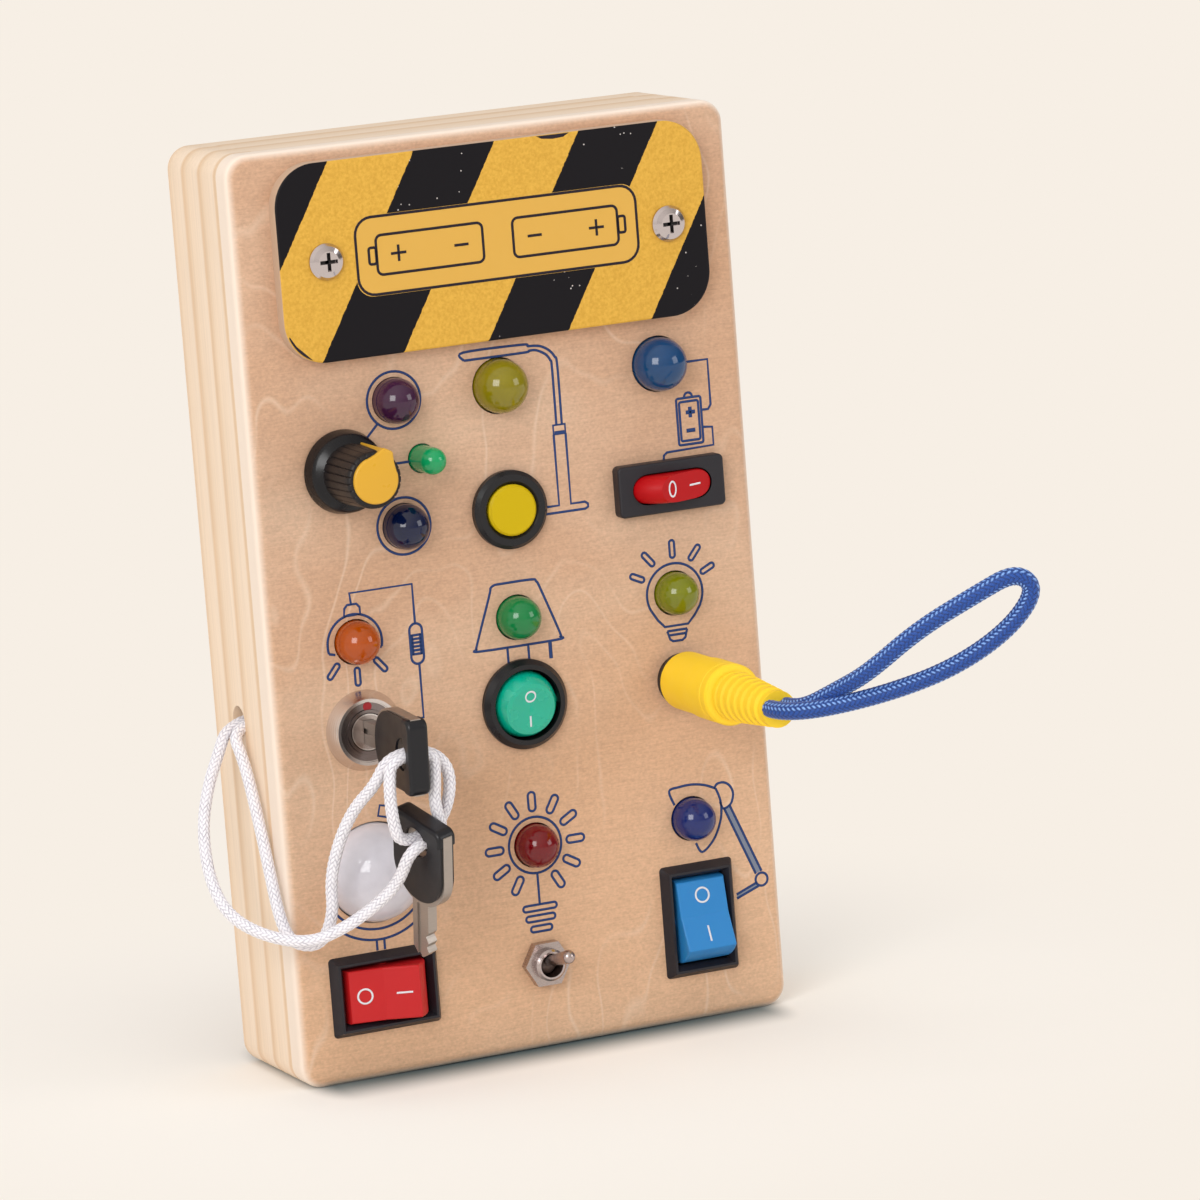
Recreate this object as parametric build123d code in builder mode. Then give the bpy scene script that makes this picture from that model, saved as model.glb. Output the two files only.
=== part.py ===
from build123d import *
import os
from math import cos, pi, radians, sin, sqrt, tan

os.makedirs("parts", exist_ok=True)

# ---------------------------------------------------------------- driving dimensions, millimetres
# The board stands on its bottom edge: +Z up, the front faces -Y, the origin is the middle of the base.
board_width = 99.0
board_height = 172.0
board_depth = 29.5
panel_thickness = 5.5          # front plywood
rail_thickness = 7.5           # pine rails behind it
corner_radius = 4.2
edge_round = 2.0
back_thickness = 3.0
back_lip = 2.5                 # of the rails, left outside the rebate that the back panel sits in
back_play = 0.2

side_gap = 0.35                                # between the switches' bodies and the rails
switch_body_length = 18.9
inner_half_width = board_width / 2 - rail_thickness
column_x = inner_half_width - side_gap - switch_body_length / 2     # the outer lamps and switches
low_switch_z = 16.4
low_lamp_z = 38.6
top_lamp_z = board_height - 47.4
row_span = top_lamp_z - low_lamp_z             # shared out between the rows in the middle
middle_switch_z = low_lamp_z + 0.3105 * row_span
middle_lamp_z = low_lamp_z + 0.4988 * row_span
top_switch_z = low_lamp_z + 0.736 * row_span
knob = (-column_x + 0.1, low_lamp_z + 0.8651 * row_span)

hole_play = 0.1                # radial, where a fixed piece passes the panel
running_play = 0.05            # radial, shafts and pivot pins in their bores
moving_play = 0.3              # between pieces that move past each other

front_y = -board_depth / 2
back_y = board_depth / 2
panel_back = -panel_thickness                      # heights are measured out from the front face
cavity_floor = -(board_depth - back_thickness)     # height of the back panel's inner face


# ---------------------------------------------------------------- planes and helpers
def face_plane(x, z, height=0.0):
    # parallel to the front face: local x is +X, local y is +Z, the normal points out of the board
    return Plane(origin=(x, front_y - height, z), x_dir=(1, 0, 0), z_dir=(0, -1, 0))


def section_plane(x, z, height=0.0, upright=False, tilt=0.0):
    # a cut through the board: local y points out of the front face, local x along the face,
    # to the right or, if upright, to the top; tilt turns both about the plane's origin
    along = Vector(0, 0, 1) if upright else Vector(1, 0, 0)
    outward = Vector(0, -1, 0)
    x_dir = along * cos(radians(tilt)) + outward * sin(radians(tilt))
    y_dir = outward * cos(radians(tilt)) - along * sin(radians(tilt))
    return Plane(origin=(x, front_y - height, z), x_dir=x_dir, z_dir=x_dir.cross(y_dir))


def normal_axis(x, z):
    return Axis((x, front_y, z), (0, -1, 0))


def finish(piece, name):
    piece.part.label = name
    export_step(piece.part, f"parts/{name}.step")


def turned(x, z, outline):
    # a piece turned about the panel's normal, from (radius, height) points
    with BuildPart() as piece:
        with BuildSketch(section_plane(x, z)):
            with BuildLine():
                Polyline(*outline, close=True)
            make_face()
        revolve(axis=normal_axis(x, z))
    return piece


def hex_nut(x, z, low, high, across_flats, bore, turn=0.0):
    with BuildPart() as piece:
        with BuildSketch(face_plane(x, z, low)):
            with Locations(Location((0, 0, 0), (0, 0, turn))):
                RegularPolygon(across_flats / 2, 6, major_radius=False)
            Circle(bore, mode=Mode.SUBTRACT)
        extrude(amount=high - low)
    return piece


# ---------------------------------------------------------------- lamps
# name: (x, z, lens diameter, height of the dome's centre, lip left in front of the flange)
lamps = {
    "lamp_purple": (knob[0] + 11.2, top_lamp_z, 8.0, 1.3, 4.2),
    "lamp_navy": (knob[0] + 11.2, knob[1] - 11.6, 8.0, 1.3, 4.2),
    "lamp_small_green": (knob[0] + 15.8, knob[1] + 0.3, 5.0, 5.1, 1.1),
    "lamp_yellow": (0.0, top_lamp_z, 10.0, 1.2, panel_thickness),
    "lamp_blue": (column_x, top_lamp_z, 10.0, 1.2, panel_thickness),
    "lamp_orange": (-column_x, middle_lamp_z, 8.0, 1.3, 4.2),
    "lamp_green": (0.0, middle_lamp_z, 8.0, 1.3, 4.2),
    "lamp_olive": (column_x, middle_lamp_z, 8.0, 1.3, 4.2),
    "lamp_white_dome": (-column_x, low_lamp_z, 18.4, -0.6, panel_thickness),
    "lamp_red": (0.0, low_lamp_z, 8.0, 1.3, 4.2),
    "lamp_violet": (column_x, low_lamp_z, 8.0, 1.3, 4.2),
}
flange_overhang = 0.5
flange_thickness = 1.5
lead_side = 0.5
lead_pitch = 2.54
lead_length = 9.0


def lamp_flange_base(lip):
    return -lip - flange_thickness


for lamp_name, (x, z, diameter, dome_centre, lip) in lamps.items():
    lens_radius = diameter / 2
    with BuildPart() as lamp:
        with BuildSketch(section_plane(x, z)):
            with BuildLine():
                Polyline((0, dome_centre + lens_radius), (0, lamp_flange_base(lip)),
                         (lens_radius + flange_overhang, lamp_flange_base(lip)),
                         (lens_radius + flange_overhang, -lip), (lens_radius, -lip),
                         (lens_radius, dome_centre))
                RadiusArc((lens_radius, dome_centre), (0, dome_centre + lens_radius), -lens_radius)
            make_face()
        revolve(axis=normal_axis(x, z))
    finish(lamp, lamp_name)

with BuildPart() as lamp_leads:
    for x, z, diameter, dome_centre, lip in lamps.values():
        with BuildSketch(face_plane(x, z, lamp_flange_base(lip))):
            with GridLocations(lead_pitch, 0, 2, 1):
                Rectangle(lead_side, lead_side)
        extrude(amount=-lead_length)
finish(lamp_leads, "lamp_leads")

# ---------------------------------------------------------------- rocker switches
# A rocker's ends are arcs about its pivot, so its gap to the housing is the same at every angle.
bezel_length = 21.4
bezel_width = 15.0
bezel_height = 2.0
bezel_taper = 29.0             # of its outer sides, in degrees
bezel_ridge = 0.45             # width of the flat along its top
bezel_slope_foot = 0.5         # height where its inner slope meets the opening
switch_body_width = 12.8
switch_body_floor = -13.5
rocker_reach = 8.0             # radius of the ends about the pivot
rocker_width = 9.9
rocker_tilt = 17.0
rocker_height = 4.7            # of the top corners above the pivot
rocker_depth = 2.4             # of the underside below the pivot
rocker_hollow = 0.8            # how far the top dips in the middle
pivot_height = -0.9
pin_radius = 1.0
pin_length = 0.9
well_depth = 6.0
terminal_width = 4.0
terminal_thickness = 0.8
terminal_length = 6.5
terminal_pitch = 7.0

red_switch = (-column_x, low_switch_z)
blue_switch = (column_x, low_switch_z + 3.1)
round_switch = (0.0, middle_switch_z)
oval_switch = (column_x, top_switch_z)


def rocker_profile(plane, reach, top, bottom, dip):
    # section through a rocker: arcs about the pivot at both ends and a shallow V on top
    top_x = sqrt(reach**2 - top**2)
    bottom_x = sqrt(reach**2 - bottom**2)
    with BuildSketch(plane) as profile:
        with BuildLine():
            Polyline((-top_x, top), (0, top - dip), (top_x, top))
            ThreePointArc((top_x, top), (reach, 0), (bottom_x, -bottom))
            Line((bottom_x, -bottom), (-bottom_x, -bottom))
            ThreePointArc((-bottom_x, -bottom), (-reach, 0), (-top_x, top))
        make_face()
    return profile


def flat_rocker(centre, upright, tilt):
    plane = section_plane(*centre, pivot_height, upright, tilt)
    with BuildPart() as rocker:
        profile = rocker_profile(plane, rocker_reach, rocker_height, rocker_depth, rocker_hollow)
        extrude(profile.sketch, amount=rocker_width / 2, both=True)
        fillet(rocker.edges().filter_by(lambda e: e.center().Y < front_y - 0.5), 0.35)
        with BuildSketch(plane):
            Circle(pin_radius)
        extrude(amount=rocker_width / 2 + pin_length, both=True)
    return rocker


def flat_housing(centre, upright):
    plane = section_plane(*centre, pivot_height, upright)
    turn = 90 if upright else 0
    side_in = bezel_height * tan(radians(bezel_taper)) + bezel_ridge
    with BuildPart() as housing:
        with BuildSketch(face_plane(*centre)):
            with Locations(Location((0, 0, 0), (0, 0, turn))):
                RectangleRounded(bezel_length, bezel_width, 0.8)
        extrude(amount=bezel_height, taper=bezel_taper)
        with BuildSketch(face_plane(*centre)):
            with Locations(Location((0, 0, 0), (0, 0, turn))):
                RectangleRounded(switch_body_length, switch_body_width, 0.6)
        extrude(amount=switch_body_floor)
        with BuildSketch(face_plane(*centre, bezel_height)):
            with Locations(Location((0, 0, 0), (0, 0, turn))):
                Rectangle(bezel_length - 2 * side_in, bezel_width - 2 * side_in)
        with BuildSketch(face_plane(*centre, bezel_slope_foot)):
            with Locations(Location((0, 0, 0), (0, 0, turn))):
                Rectangle(2 * (rocker_reach + moving_play), rocker_width + 2 * moving_play)
        loft(mode=Mode.SUBTRACT)
        with BuildSketch(face_plane(*centre, bezel_height)):
            with Locations(Location((0, 0, 0), (0, 0, turn))):
                Rectangle(2 * (rocker_reach + moving_play), rocker_width + 2 * moving_play)
        extrude(amount=-(bezel_height + well_depth), mode=Mode.SUBTRACT)
        with BuildSketch(plane):
            Circle(pin_radius + running_play)
        extrude(amount=rocker_width / 2 + pin_length + running_play, both=True, mode=Mode.SUBTRACT)
    return housing


finish(flat_housing(red_switch, upright=False), "red_switch_housing")
finish(flat_rocker(red_switch, upright=False, tilt=rocker_tilt), "red_rocker")
finish(flat_housing(blue_switch, upright=True), "blue_switch_housing")
finish(flat_rocker(blue_switch, upright=True, tilt=-rocker_tilt), "blue_rocker")

# round switch: the rocker is a slice of a ball about its pivot, inside a round bezel
round_bezel_radius = 8.4
round_body_radius = 7.4
round_rocker_radius = 6.3
round_opening_radius = round_rocker_radius + moving_play
round_tilt = 9.0
round_top = 4.0
round_pin_length = 0.6

with BuildPart() as round_housing:
    with BuildSketch(section_plane(*round_switch)):
        with BuildLine():
            Polyline((0, bezel_height), (0, switch_body_floor), (round_body_radius, switch_body_floor),
                     (round_body_radius, 0), (round_bezel_radius, 0), (round_bezel_radius, 0.9),
                     (round_bezel_radius - 0.9, bezel_height), close=True)
        make_face()
    revolve(axis=normal_axis(*round_switch))
    with BuildSketch(face_plane(*round_switch, bezel_height)):
        Circle(round_opening_radius)
    extrude(amount=-(bezel_height + well_depth), mode=Mode.SUBTRACT)
    with BuildSketch(section_plane(*round_switch, pivot_height, upright=True)):
        Circle(pin_radius + running_play)
    extrude(amount=round_opening_radius + round_pin_length + running_play, both=True, mode=Mode.SUBTRACT)
finish(round_housing, "round_switch_housing")

with BuildPart() as round_rocker:
    round_plane = section_plane(*round_switch, pivot_height, upright=True, tilt=round_tilt)
    top_edge = sqrt(round_rocker_radius**2 - round_top**2)
    bottom_edge = sqrt(round_rocker_radius**2 - rocker_depth**2)
    with BuildSketch(round_plane):
        with BuildLine():
            Line((0, -rocker_depth), (bottom_edge, -rocker_depth))
            ThreePointArc((bottom_edge, -rocker_depth), (round_rocker_radius, 0), (top_edge, round_top))
            Polyline((top_edge, round_top), (top_edge - 0.8, round_top + 0.15), (0, round_top - 0.3),
                     (0, -rocker_depth))
        make_face()
    revolve(axis=Axis(round_plane.origin, round_plane.y_dir))
    with BuildSketch(round_plane):
        Circle(pin_radius)
    extrude(amount=round_opening_radius + round_pin_length, both=True)
finish(round_rocker, "round_rocker")

# oval switch: a round-edged disc about its pivot, cut flat on top, stands in a narrow slot
oval_bezel_length = 21.6
oval_bezel_width = 9.6
oval_bezel_height = 2.6
oval_body_width = 8.4
oval_reach = 8.5               # radius of the disc about the pivot
oval_width = 5.2
oval_top = 5.7                 # above the pivot
oval_tilt = 20.0


def oval_disc(reach, width):
    with BuildPart() as disc:
        with BuildSketch(face_plane(*oval_switch, pivot_height)):
            with Locations(((reach - width / 2) / 2, 0)):
                Rectangle(reach - width / 2, width)
            with Locations((reach - width / 2, 0)):
                Circle(width / 2)
        revolve(axis=Axis((oval_switch[0], front_y - pivot_height, oval_switch[1]), (0, 0, 1)))
    return disc


with BuildPart() as oval_housing:
    with BuildSketch(face_plane(*oval_switch)):
        RectangleRounded(oval_bezel_length, oval_bezel_width, 1.0)
    extrude(amount=oval_bezel_height)
    fillet(oval_housing.faces().sort_by(Axis.Y)[0].edges(), 0.5)
    with BuildSketch(face_plane(*oval_switch)):
        RectangleRounded(switch_body_length, oval_body_width, 0.6)
    extrude(amount=switch_body_floor)
    add(oval_disc(oval_reach + moving_play, oval_width + 2 * moving_play).part, mode=Mode.SUBTRACT)
    with BuildSketch(section_plane(*oval_switch, pivot_height)):
        Circle(pin_radius + running_play)
    extrude(amount=oval_width / 2 + moving_play + pin_length + running_play, both=True, mode=Mode.SUBTRACT)
finish(oval_housing, "oval_switch_housing")

with BuildPart() as oval_rocker:
    oval_plane = section_plane(*oval_switch, pivot_height, tilt=-oval_tilt)
    add(oval_disc(oval_reach, oval_width).part)
    with BuildSketch(oval_plane):
        with Locations((0, (oval_top - rocker_depth) / 2)):
            Rectangle(3 * oval_reach, oval_top + rocker_depth)
    extrude(amount=oval_width, both=True, mode=Mode.INTERSECT)
    with BuildSketch(oval_plane):
        Circle(pin_radius)
    extrude(amount=oval_width / 2 + moving_play + pin_length, both=True)
finish(oval_rocker, "oval_rocker")

# ---------------------------------------------------------------- push button
button = (0.0, top_switch_z - 0.2)
button_cap_radius = 4.75
button_top = 2.3
button_skirt = -3.5            # underside of the wide part of the cap
button_floor = -12.0
button_base = -14.0
button_stem_radius = 1.5
thread_radius = 6.0            # of the button and the lock

button_housing = turned(*button, [
    (button_cap_radius + running_play, 1.3), (button_cap_radius + 0.6, 1.9), (6.6, 1.9), (7.3, 1.2), (7.3, 0),
    (thread_radius, 0), (thread_radius, button_base), (button_stem_radius + running_play, button_base),
    (button_stem_radius + running_play, button_floor), (button_cap_radius + running_play, button_floor)])
finish(button_housing, "button_housing")

button_cap = turned(*button, [
    (0, button_top), (button_cap_radius - 0.4, button_top), (button_cap_radius, button_top - 0.4),
    (button_cap_radius, button_skirt), (button_stem_radius, button_skirt), (button_stem_radius, button_base),
    (2.4, button_base), (2.4, button_base - 0.9), (0, button_base - 0.9)])
finish(button_cap, "button_cap")


def coil(plane, radius, wire_radius, length, turns):
    # a spring along the plane's normal, between two seats `length` apart
    with BuildPart() as spring:
        with BuildLine():
            coil_length = length - 2 * wire_radius
            curve = Helix(coil_length / turns, coil_length, radius,
                          center=plane.offset(wire_radius).origin, direction=plane.z_dir)
        with BuildSketch(Plane(origin=curve @ 0, z_dir=curve % 0)):
            Circle(wire_radius)
        sweep()
    return spring


finish(coil(face_plane(*button, button_floor), 3.2, 0.3, button_skirt - button_floor, 5), "button_spring")

# ---------------------------------------------------------------- toggle switch
toggle = (0.0, low_switch_z - 0.1)
toggle_body_width = 7.9
toggle_body_length = 13.2
toggle_floor = -15.0
toggle_cavity = -10.0
bushing_radius = 3.0
bushing_top = 3.6
bushing_bore = 2.25
lever_ball = bushing_bore - running_play
toggle_tilt = 15.0
lever_tip = 13.0
tip_radius = 1.3

with BuildPart() as toggle_body:
    with BuildSketch(face_plane(*toggle, panel_back)):
        RectangleRounded(toggle_body_width, toggle_body_length, 0.4)
    extrude(amount=toggle_floor - panel_back)
    with BuildSketch(face_plane(*toggle, panel_back)):
        Circle(bushing_bore)
    extrude(amount=toggle_cavity - panel_back, mode=Mode.SUBTRACT)
finish(toggle_body, "toggle_body")

toggle_bushing = turned(*toggle, [
    (bushing_bore, panel_back), (bushing_radius, panel_back), (bushing_radius, bushing_top - 0.4),
    (bushing_radius - 0.4, bushing_top), (bushing_bore, bushing_top)])
finish(toggle_bushing, "toggle_bushing")

with BuildPart() as toggle_lever:
    lever_plane = section_plane(*toggle, upright=True, tilt=-toggle_tilt)
    with BuildSketch(lever_plane):
        with BuildLine():
            Polyline((0, -4.2), (0.8, -4.2), (0.8, -sqrt(lever_ball**2 - 0.8**2)))
            ThreePointArc((0.8, -sqrt(lever_ball**2 - 0.8**2)), (lever_ball, 0),
                          (0.95, sqrt(lever_ball**2 - 0.95**2)))
            Polyline((0.95, sqrt(lever_ball**2 - 0.95**2)), (tip_radius, lever_tip - tip_radius))
            ThreePointArc((tip_radius, lever_tip - tip_radius),
                          (tip_radius * cos(radians(45)), lever_tip - tip_radius * (1 - sin(radians(45)))),
                          (0, lever_tip))
            Line((0, lever_tip), (0, -4.2))
        make_face()
    revolve(axis=Axis(lever_plane.origin, lever_plane.y_dir))
finish(toggle_lever, "toggle_lever")

finish(hex_nut(*toggle, 0, 2.0, 8.0, bushing_radius), "toggle_nut")

# ---------------------------------------------------------------- key lock
lock = (-column_x + 0.2, middle_switch_z - 0.2)
lock_face = 2.6
lock_rim_radius = 7.5          # at the panel
lock_face_radius = 6.15
lock_step_radius = 5.6
lock_step = 0.5
cylinder_radius = 4.1
cylinder_face = 2.4
cylinder_floor = -13.0
lock_base = -16.0
key_thickness = 2.0
key_blade_width = 4.4
keyway_depth = -6.0

lock_barrel = turned(*lock, [
    (cylinder_radius + running_play, lock_face - lock_step), (lock_step_radius, lock_face - lock_step),
    (lock_step_radius, lock_face), (lock_face_radius, lock_face), (lock_rim_radius, 0), (thread_radius, 0),
    (thread_radius, lock_base), (0, lock_base), (0, cylinder_floor),
    (cylinder_radius + running_play, cylinder_floor)])
finish(lock_barrel, "lock_barrel")

with BuildPart() as lock_cylinder:
    with BuildSketch(face_plane(*lock, cylinder_floor)):
        Circle(cylinder_radius)
    extrude(amount=cylinder_face - cylinder_floor)
    with BuildSketch(face_plane(*lock, cylinder_face)):
        Rectangle(key_thickness + 2 * running_play, key_blade_width + 2 * running_play)
    extrude(amount=keyway_depth - cylinder_face, mode=Mode.SUBTRACT)
finish(lock_cylinder, "lock_cylinder")

# ---------------------------------------------------------------- keys
# Both keys are made about the hole in the bow: local x across the bow, local y towards the blade.
bow_width = 14.2
bow_end = -4.6                 # outer end of the bow
bow_length = 18.0
head_thickness = 3.0           # of the plastic sides
head_inset = 0.3               # of the plastic sides, from the steel's edge
head_short = 1.0               # and from its rounded end
cap_thickness = 4.0            # of the plastic round the outer end
cap_depth = 3.0
cap_corner = 1.8
cap_round = 0.7
head_wrap = 1.0                # plastic past the steel at the outer end
key_hole_radius = 3.0
blade_length = 11.2
groove_width = 1.0             # along both faces of the blade
groove_depth = 0.4

key_one_hole = 20.9            # heights of the holes above the front face
key_one_droop = 4.0            # the bow hangs down from the blade by this angle
droop_start = 2.4
spare_hole_height = 20.3
spare_drop = 17.3              # of its hole below the lock
droop_drop = (key_one_hole - droop_start) * sin(radians(key_one_droop))
key_one_blade_plane = Plane(origin=(lock[0], front_y - key_one_hole, lock[1]),
                            x_dir=(0, 0, -1), z_dir=(1, 0, 0))
key_one_bow_plane = Plane(origin=(lock[0], front_y - key_one_hole, lock[1] - droop_drop),
                          x_dir=(0, sin(radians(key_one_droop)), -cos(radians(key_one_droop))),
                          z_dir=(1, 0, 0))
spare_hole = Vector(lock[0] + 1.5, front_y - spare_hole_height, lock[1] - spare_drop)
spare_width = Vector(0.266, -0.9146, -0.3044)
spare_blade = Vector(0.0834, 0.3364, -0.938)
spare_plane = Plane(origin=spare_hole, x_dir=spare_width, z_dir=spare_width.cross(spare_blade))


def bow_outline(outer_end, inset=0.0, short=0.0):
    half = bow_width / 2 - inset
    shoulder = bow_end + bow_length - short - half
    with Locations((0, (outer_end + shoulder) / 2)):
        Rectangle(2 * half, shoulder - outer_end)
    with Locations((0, shoulder)):
        Circle(half)


def key_blade(bow_plane, blade_plane):
    root_y = bow_end + bow_length - 1.5
    tip_y = bow_end + bow_length + blade_length
    half = key_blade_width / 2
    with BuildPart() as key:
        with BuildSketch(bow_plane):
            bow_outline(bow_end + head_wrap)
            Circle(key_hole_radius + 0.2, mode=Mode.SUBTRACT)
        extrude(amount=key_thickness / 2, both=True)
        with BuildSketch(blade_plane):
            with BuildLine():
                Polyline((-half, root_y), (-half, tip_y - 1.6), (-half + 1.6, tip_y), (half - 1.6, tip_y),
                         (half, tip_y - 1.6), (half - 0.6, tip_y - 2.6), (half, tip_y - 3.6),
                         (half - 0.8, tip_y - 4.7), (half, tip_y - 5.8), (half, root_y), close=True)
            make_face()
        extrude(amount=key_thickness / 2, both=True)
        for side in (-1, 1):
            with BuildSketch(blade_plane.offset(side * (key_thickness / 2 - groove_depth))):
                with Locations((-0.4, (root_y + 1.5 + tip_y) / 2 + 0.5)):
                    Rectangle(groove_width, tip_y - root_y - 0.5)
            extrude(amount=side * 2 * groove_depth, mode=Mode.SUBTRACT)
    return key


def key_head(plane):
    with BuildPart() as head:
        with BuildSketch(plane):
            with Locations((0, bow_end + cap_depth / 2)):
                Rectangle(bow_width, cap_depth)
        extrude(amount=cap_thickness / 2, both=True)
        cap_ends = head.edges().filter_by(lambda e: abs(e.length - cap_thickness) < 0.01)
        fillet(cap_ends.sort_by(lambda e: plane.to_local_coords(e.center()).Y)[:2], cap_corner)
        outer_end = head.faces().sort_by(lambda f: plane.to_local_coords(f.center()).Y)[0]
        fillet(outer_end.edges().filter_by(lambda e: e.length > 2 * cap_thickness), cap_round)
        with BuildSketch(plane):
            bow_outline(bow_end + cap_depth / 2, head_inset, head_short)
        extrude(amount=head_thickness / 2, both=True)
        with BuildSketch(plane):
            bow_outline(bow_end + head_wrap)
        extrude(amount=key_thickness / 2, both=True, mode=Mode.SUBTRACT)
        with BuildSketch(plane):
            Circle(key_hole_radius)
        extrude(amount=cap_thickness, both=True, mode=Mode.SUBTRACT)
    return head


finish(key_blade(key_one_bow_plane, key_one_blade_plane), "key_one_blade")
finish(key_head(key_one_bow_plane), "key_one_head")
finish(key_blade(spare_plane, spare_plane), "spare_key_blade")
finish(key_head(spare_plane), "spare_key_head")

# ---------------------------------------------------------------- socket and plug
socket = (column_x, middle_switch_z - 0.1)
socket_thread = 4.4
socket_flange_radius = 4.9
socket_flange = 1.9
socket_base = -14.0
plug_start = socket_flange + moving_play
plug_radius = 5.5
plug_grip_radius = 5.75
plug_end = 41.0
pin_reach = 9.5
pin_outer = 2.75
pin_inner = 1.05
contact_radius = pin_inner - running_play

jack_socket = turned(*socket, [
    (0, -1.0), (contact_radius, -1.0), (contact_radius, socket_base + 3),
    (pin_outer + running_play, socket_base + 3), (pin_outer + running_play, socket_flange), (socket_flange_radius - 0.3, socket_flange),
    (socket_flange_radius, socket_flange - 0.3), (socket_flange_radius, 0), (socket_thread, 0),
    (socket_thread, socket_base), (0, socket_base)])
finish(jack_socket, "jack_socket")

plug_pin = turned(*socket, [
    (pin_inner, plug_start + 2.0), (pin_outer, plug_start + 2.0), (pin_outer, plug_start - pin_reach + 0.4),
    (pin_outer - 0.4, plug_start - pin_reach), (pin_inner, plug_start - pin_reach)])
finish(plug_pin, "plug_pin")

grip_start = 12.5
grip_ring = 19.8
grip_end = 22.5
cone_radius = 4.6
rib_count = 6
rib_start = 24.5
rib_end = 39.0
rib_pitch = (rib_end - rib_start) / rib_count
rib_taper = 0.19               # each rib is smaller than the one before it by this much
collar_radius = 3.4
plug_outline = [
    (0, plug_start + 2.0), (pin_outer, plug_start + 2.0), (pin_outer, plug_start),
    (plug_radius - 0.4, plug_start), (plug_radius, plug_start + 0.4), (plug_radius, grip_start), (plug_grip_radius, grip_start + 0.3),
    (plug_grip_radius, grip_ring - 0.15), (plug_grip_radius - 0.15, grip_ring),
    (plug_grip_radius, grip_ring + 0.15), (plug_grip_radius, grip_end - 0.8), (plug_grip_radius - 0.3, grip_end - 0.25),
    (plug_grip_radius - 0.9, grip_end), (cone_radius - 0.5, grip_end + 0.2), (cone_radius, grip_end + 0.5),
    (cone_radius, grip_end + 1.4), (cone_radius - 0.5, grip_end + 1.7)]
for rib in range(rib_count):
    radius = cone_radius - rib_taper * rib
    start = rib_start + rib * rib_pitch
    plug_outline += [(radius - 0.6, start - 0.2), (radius, start + 0.15), (radius, start + rib_pitch - 0.75),
                     (radius - 0.6, start + rib_pitch - 0.4)]
plug_outline += [(collar_radius - 0.2, rib_end), (collar_radius, rib_end + 0.3), (collar_radius, plug_end),
                 (0, plug_end)]
finish(turned(*socket, plug_outline), "plug_body")

# nuts hold the button, the lock and the socket behind the panel
with BuildPart() as panel_nuts:
    for (x, z), thread in ((button, thread_radius), (lock, thread_radius), (socket, socket_thread)):
        with BuildSketch(face_plane(x, z, panel_back)):
            RegularPolygon(thread + 1.0, 6, major_radius=False)
            Circle(thread, mode=Mode.SUBTRACT)
        extrude(amount=-2.0)
finish(panel_nuts, "panel_nuts")

# ---------------------------------------------------------------- potentiometer and knob
pot_radius = 8.25
pot_floor = -14.5
pot_bushing_radius = 3.5
pot_bushing_top = 2.4
shaft_radius = 3.0
shaft_top = 12.0
shaft_foot = -12.0
pot_nut_height = 2.0
knob_base = 0.4
knob_hollow = pot_bushing_top + 0.5
knob_top = 15.7
skirt_top = 3.8
skirt_radius = 7.75
skirt_top_radius = 7.25
grip_base = 5.0                # the skirt's top slopes up to the grip here
skirt_inner_radius = 6.2
grip_radius = 5.6              # at the skirt
grip_top_radius = 5.2
flute_centre = 5.75
flute_depth = 1.5
flute_width = 0.5
stripe_centre = 5.2            # of the pointer's stripe down the side
stripe_depth = 1.6
stripe_base = 4.3
cap_radius = 4.3
cap_height = 0.7
cap_edge = 0.3
pointer_root = 2.6
pointer_root_half = 3.3
pointer_tip = 6.0
pointer_angle = 62.0           # of the pointer, from +X towards +Z
pointer_width = 1.3

potentiometer_body = turned(*knob, [
    (shaft_radius + running_play, pot_bushing_top), (pot_bushing_radius, pot_bushing_top),
    (pot_bushing_radius, panel_back), (pot_radius, panel_back), (pot_radius, pot_floor), (0, pot_floor),
    (0, shaft_foot), (shaft_radius + running_play, shaft_foot)])
finish(potentiometer_body, "potentiometer_body")
finish(hex_nut(*knob, 0, pot_nut_height, 10.0, pot_bushing_radius), "potentiometer_nut")

with BuildPart() as potentiometer_shaft:
    with BuildSketch(face_plane(*knob, shaft_foot)):
        Circle(shaft_radius)
    extrude(amount=shaft_top - shaft_foot)
finish(potentiometer_shaft, "potentiometer_shaft")

with BuildPart() as knob_body:
    with BuildSketch(section_plane(*knob)):
        with BuildLine():
            Polyline((0, knob_top), (0, shaft_top), (shaft_radius, shaft_top), (shaft_radius, knob_hollow),
                     (skirt_inner_radius, knob_hollow), (skirt_inner_radius, knob_base),
                     (skirt_radius, knob_base), (skirt_top_radius, skirt_top), (grip_radius, grip_base), (grip_top_radius, knob_top),
                     close=True)
        make_face()
    revolve(axis=normal_axis(*knob))
    with BuildSketch(face_plane(*knob, grip_base + 0.3)):
        with PolarLocations(flute_centre, 23, start_angle=pointer_angle + 16, angular_range=328,
                            endpoint=True):
            Rectangle(flute_depth, flute_width)
    extrude(amount=knob_top - grip_base, mode=Mode.SUBTRACT)
    with BuildSketch(face_plane(*knob, stripe_base)):
        with Locations(Location((0, 0, 0), (0, 0, pointer_angle))):
            with Locations((stripe_centre, 0)):
                Rectangle(stripe_depth, pointer_width)
    extrude(amount=knob_top - stripe_base, mode=Mode.SUBTRACT)
finish(knob_body, "knob_body")

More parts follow.
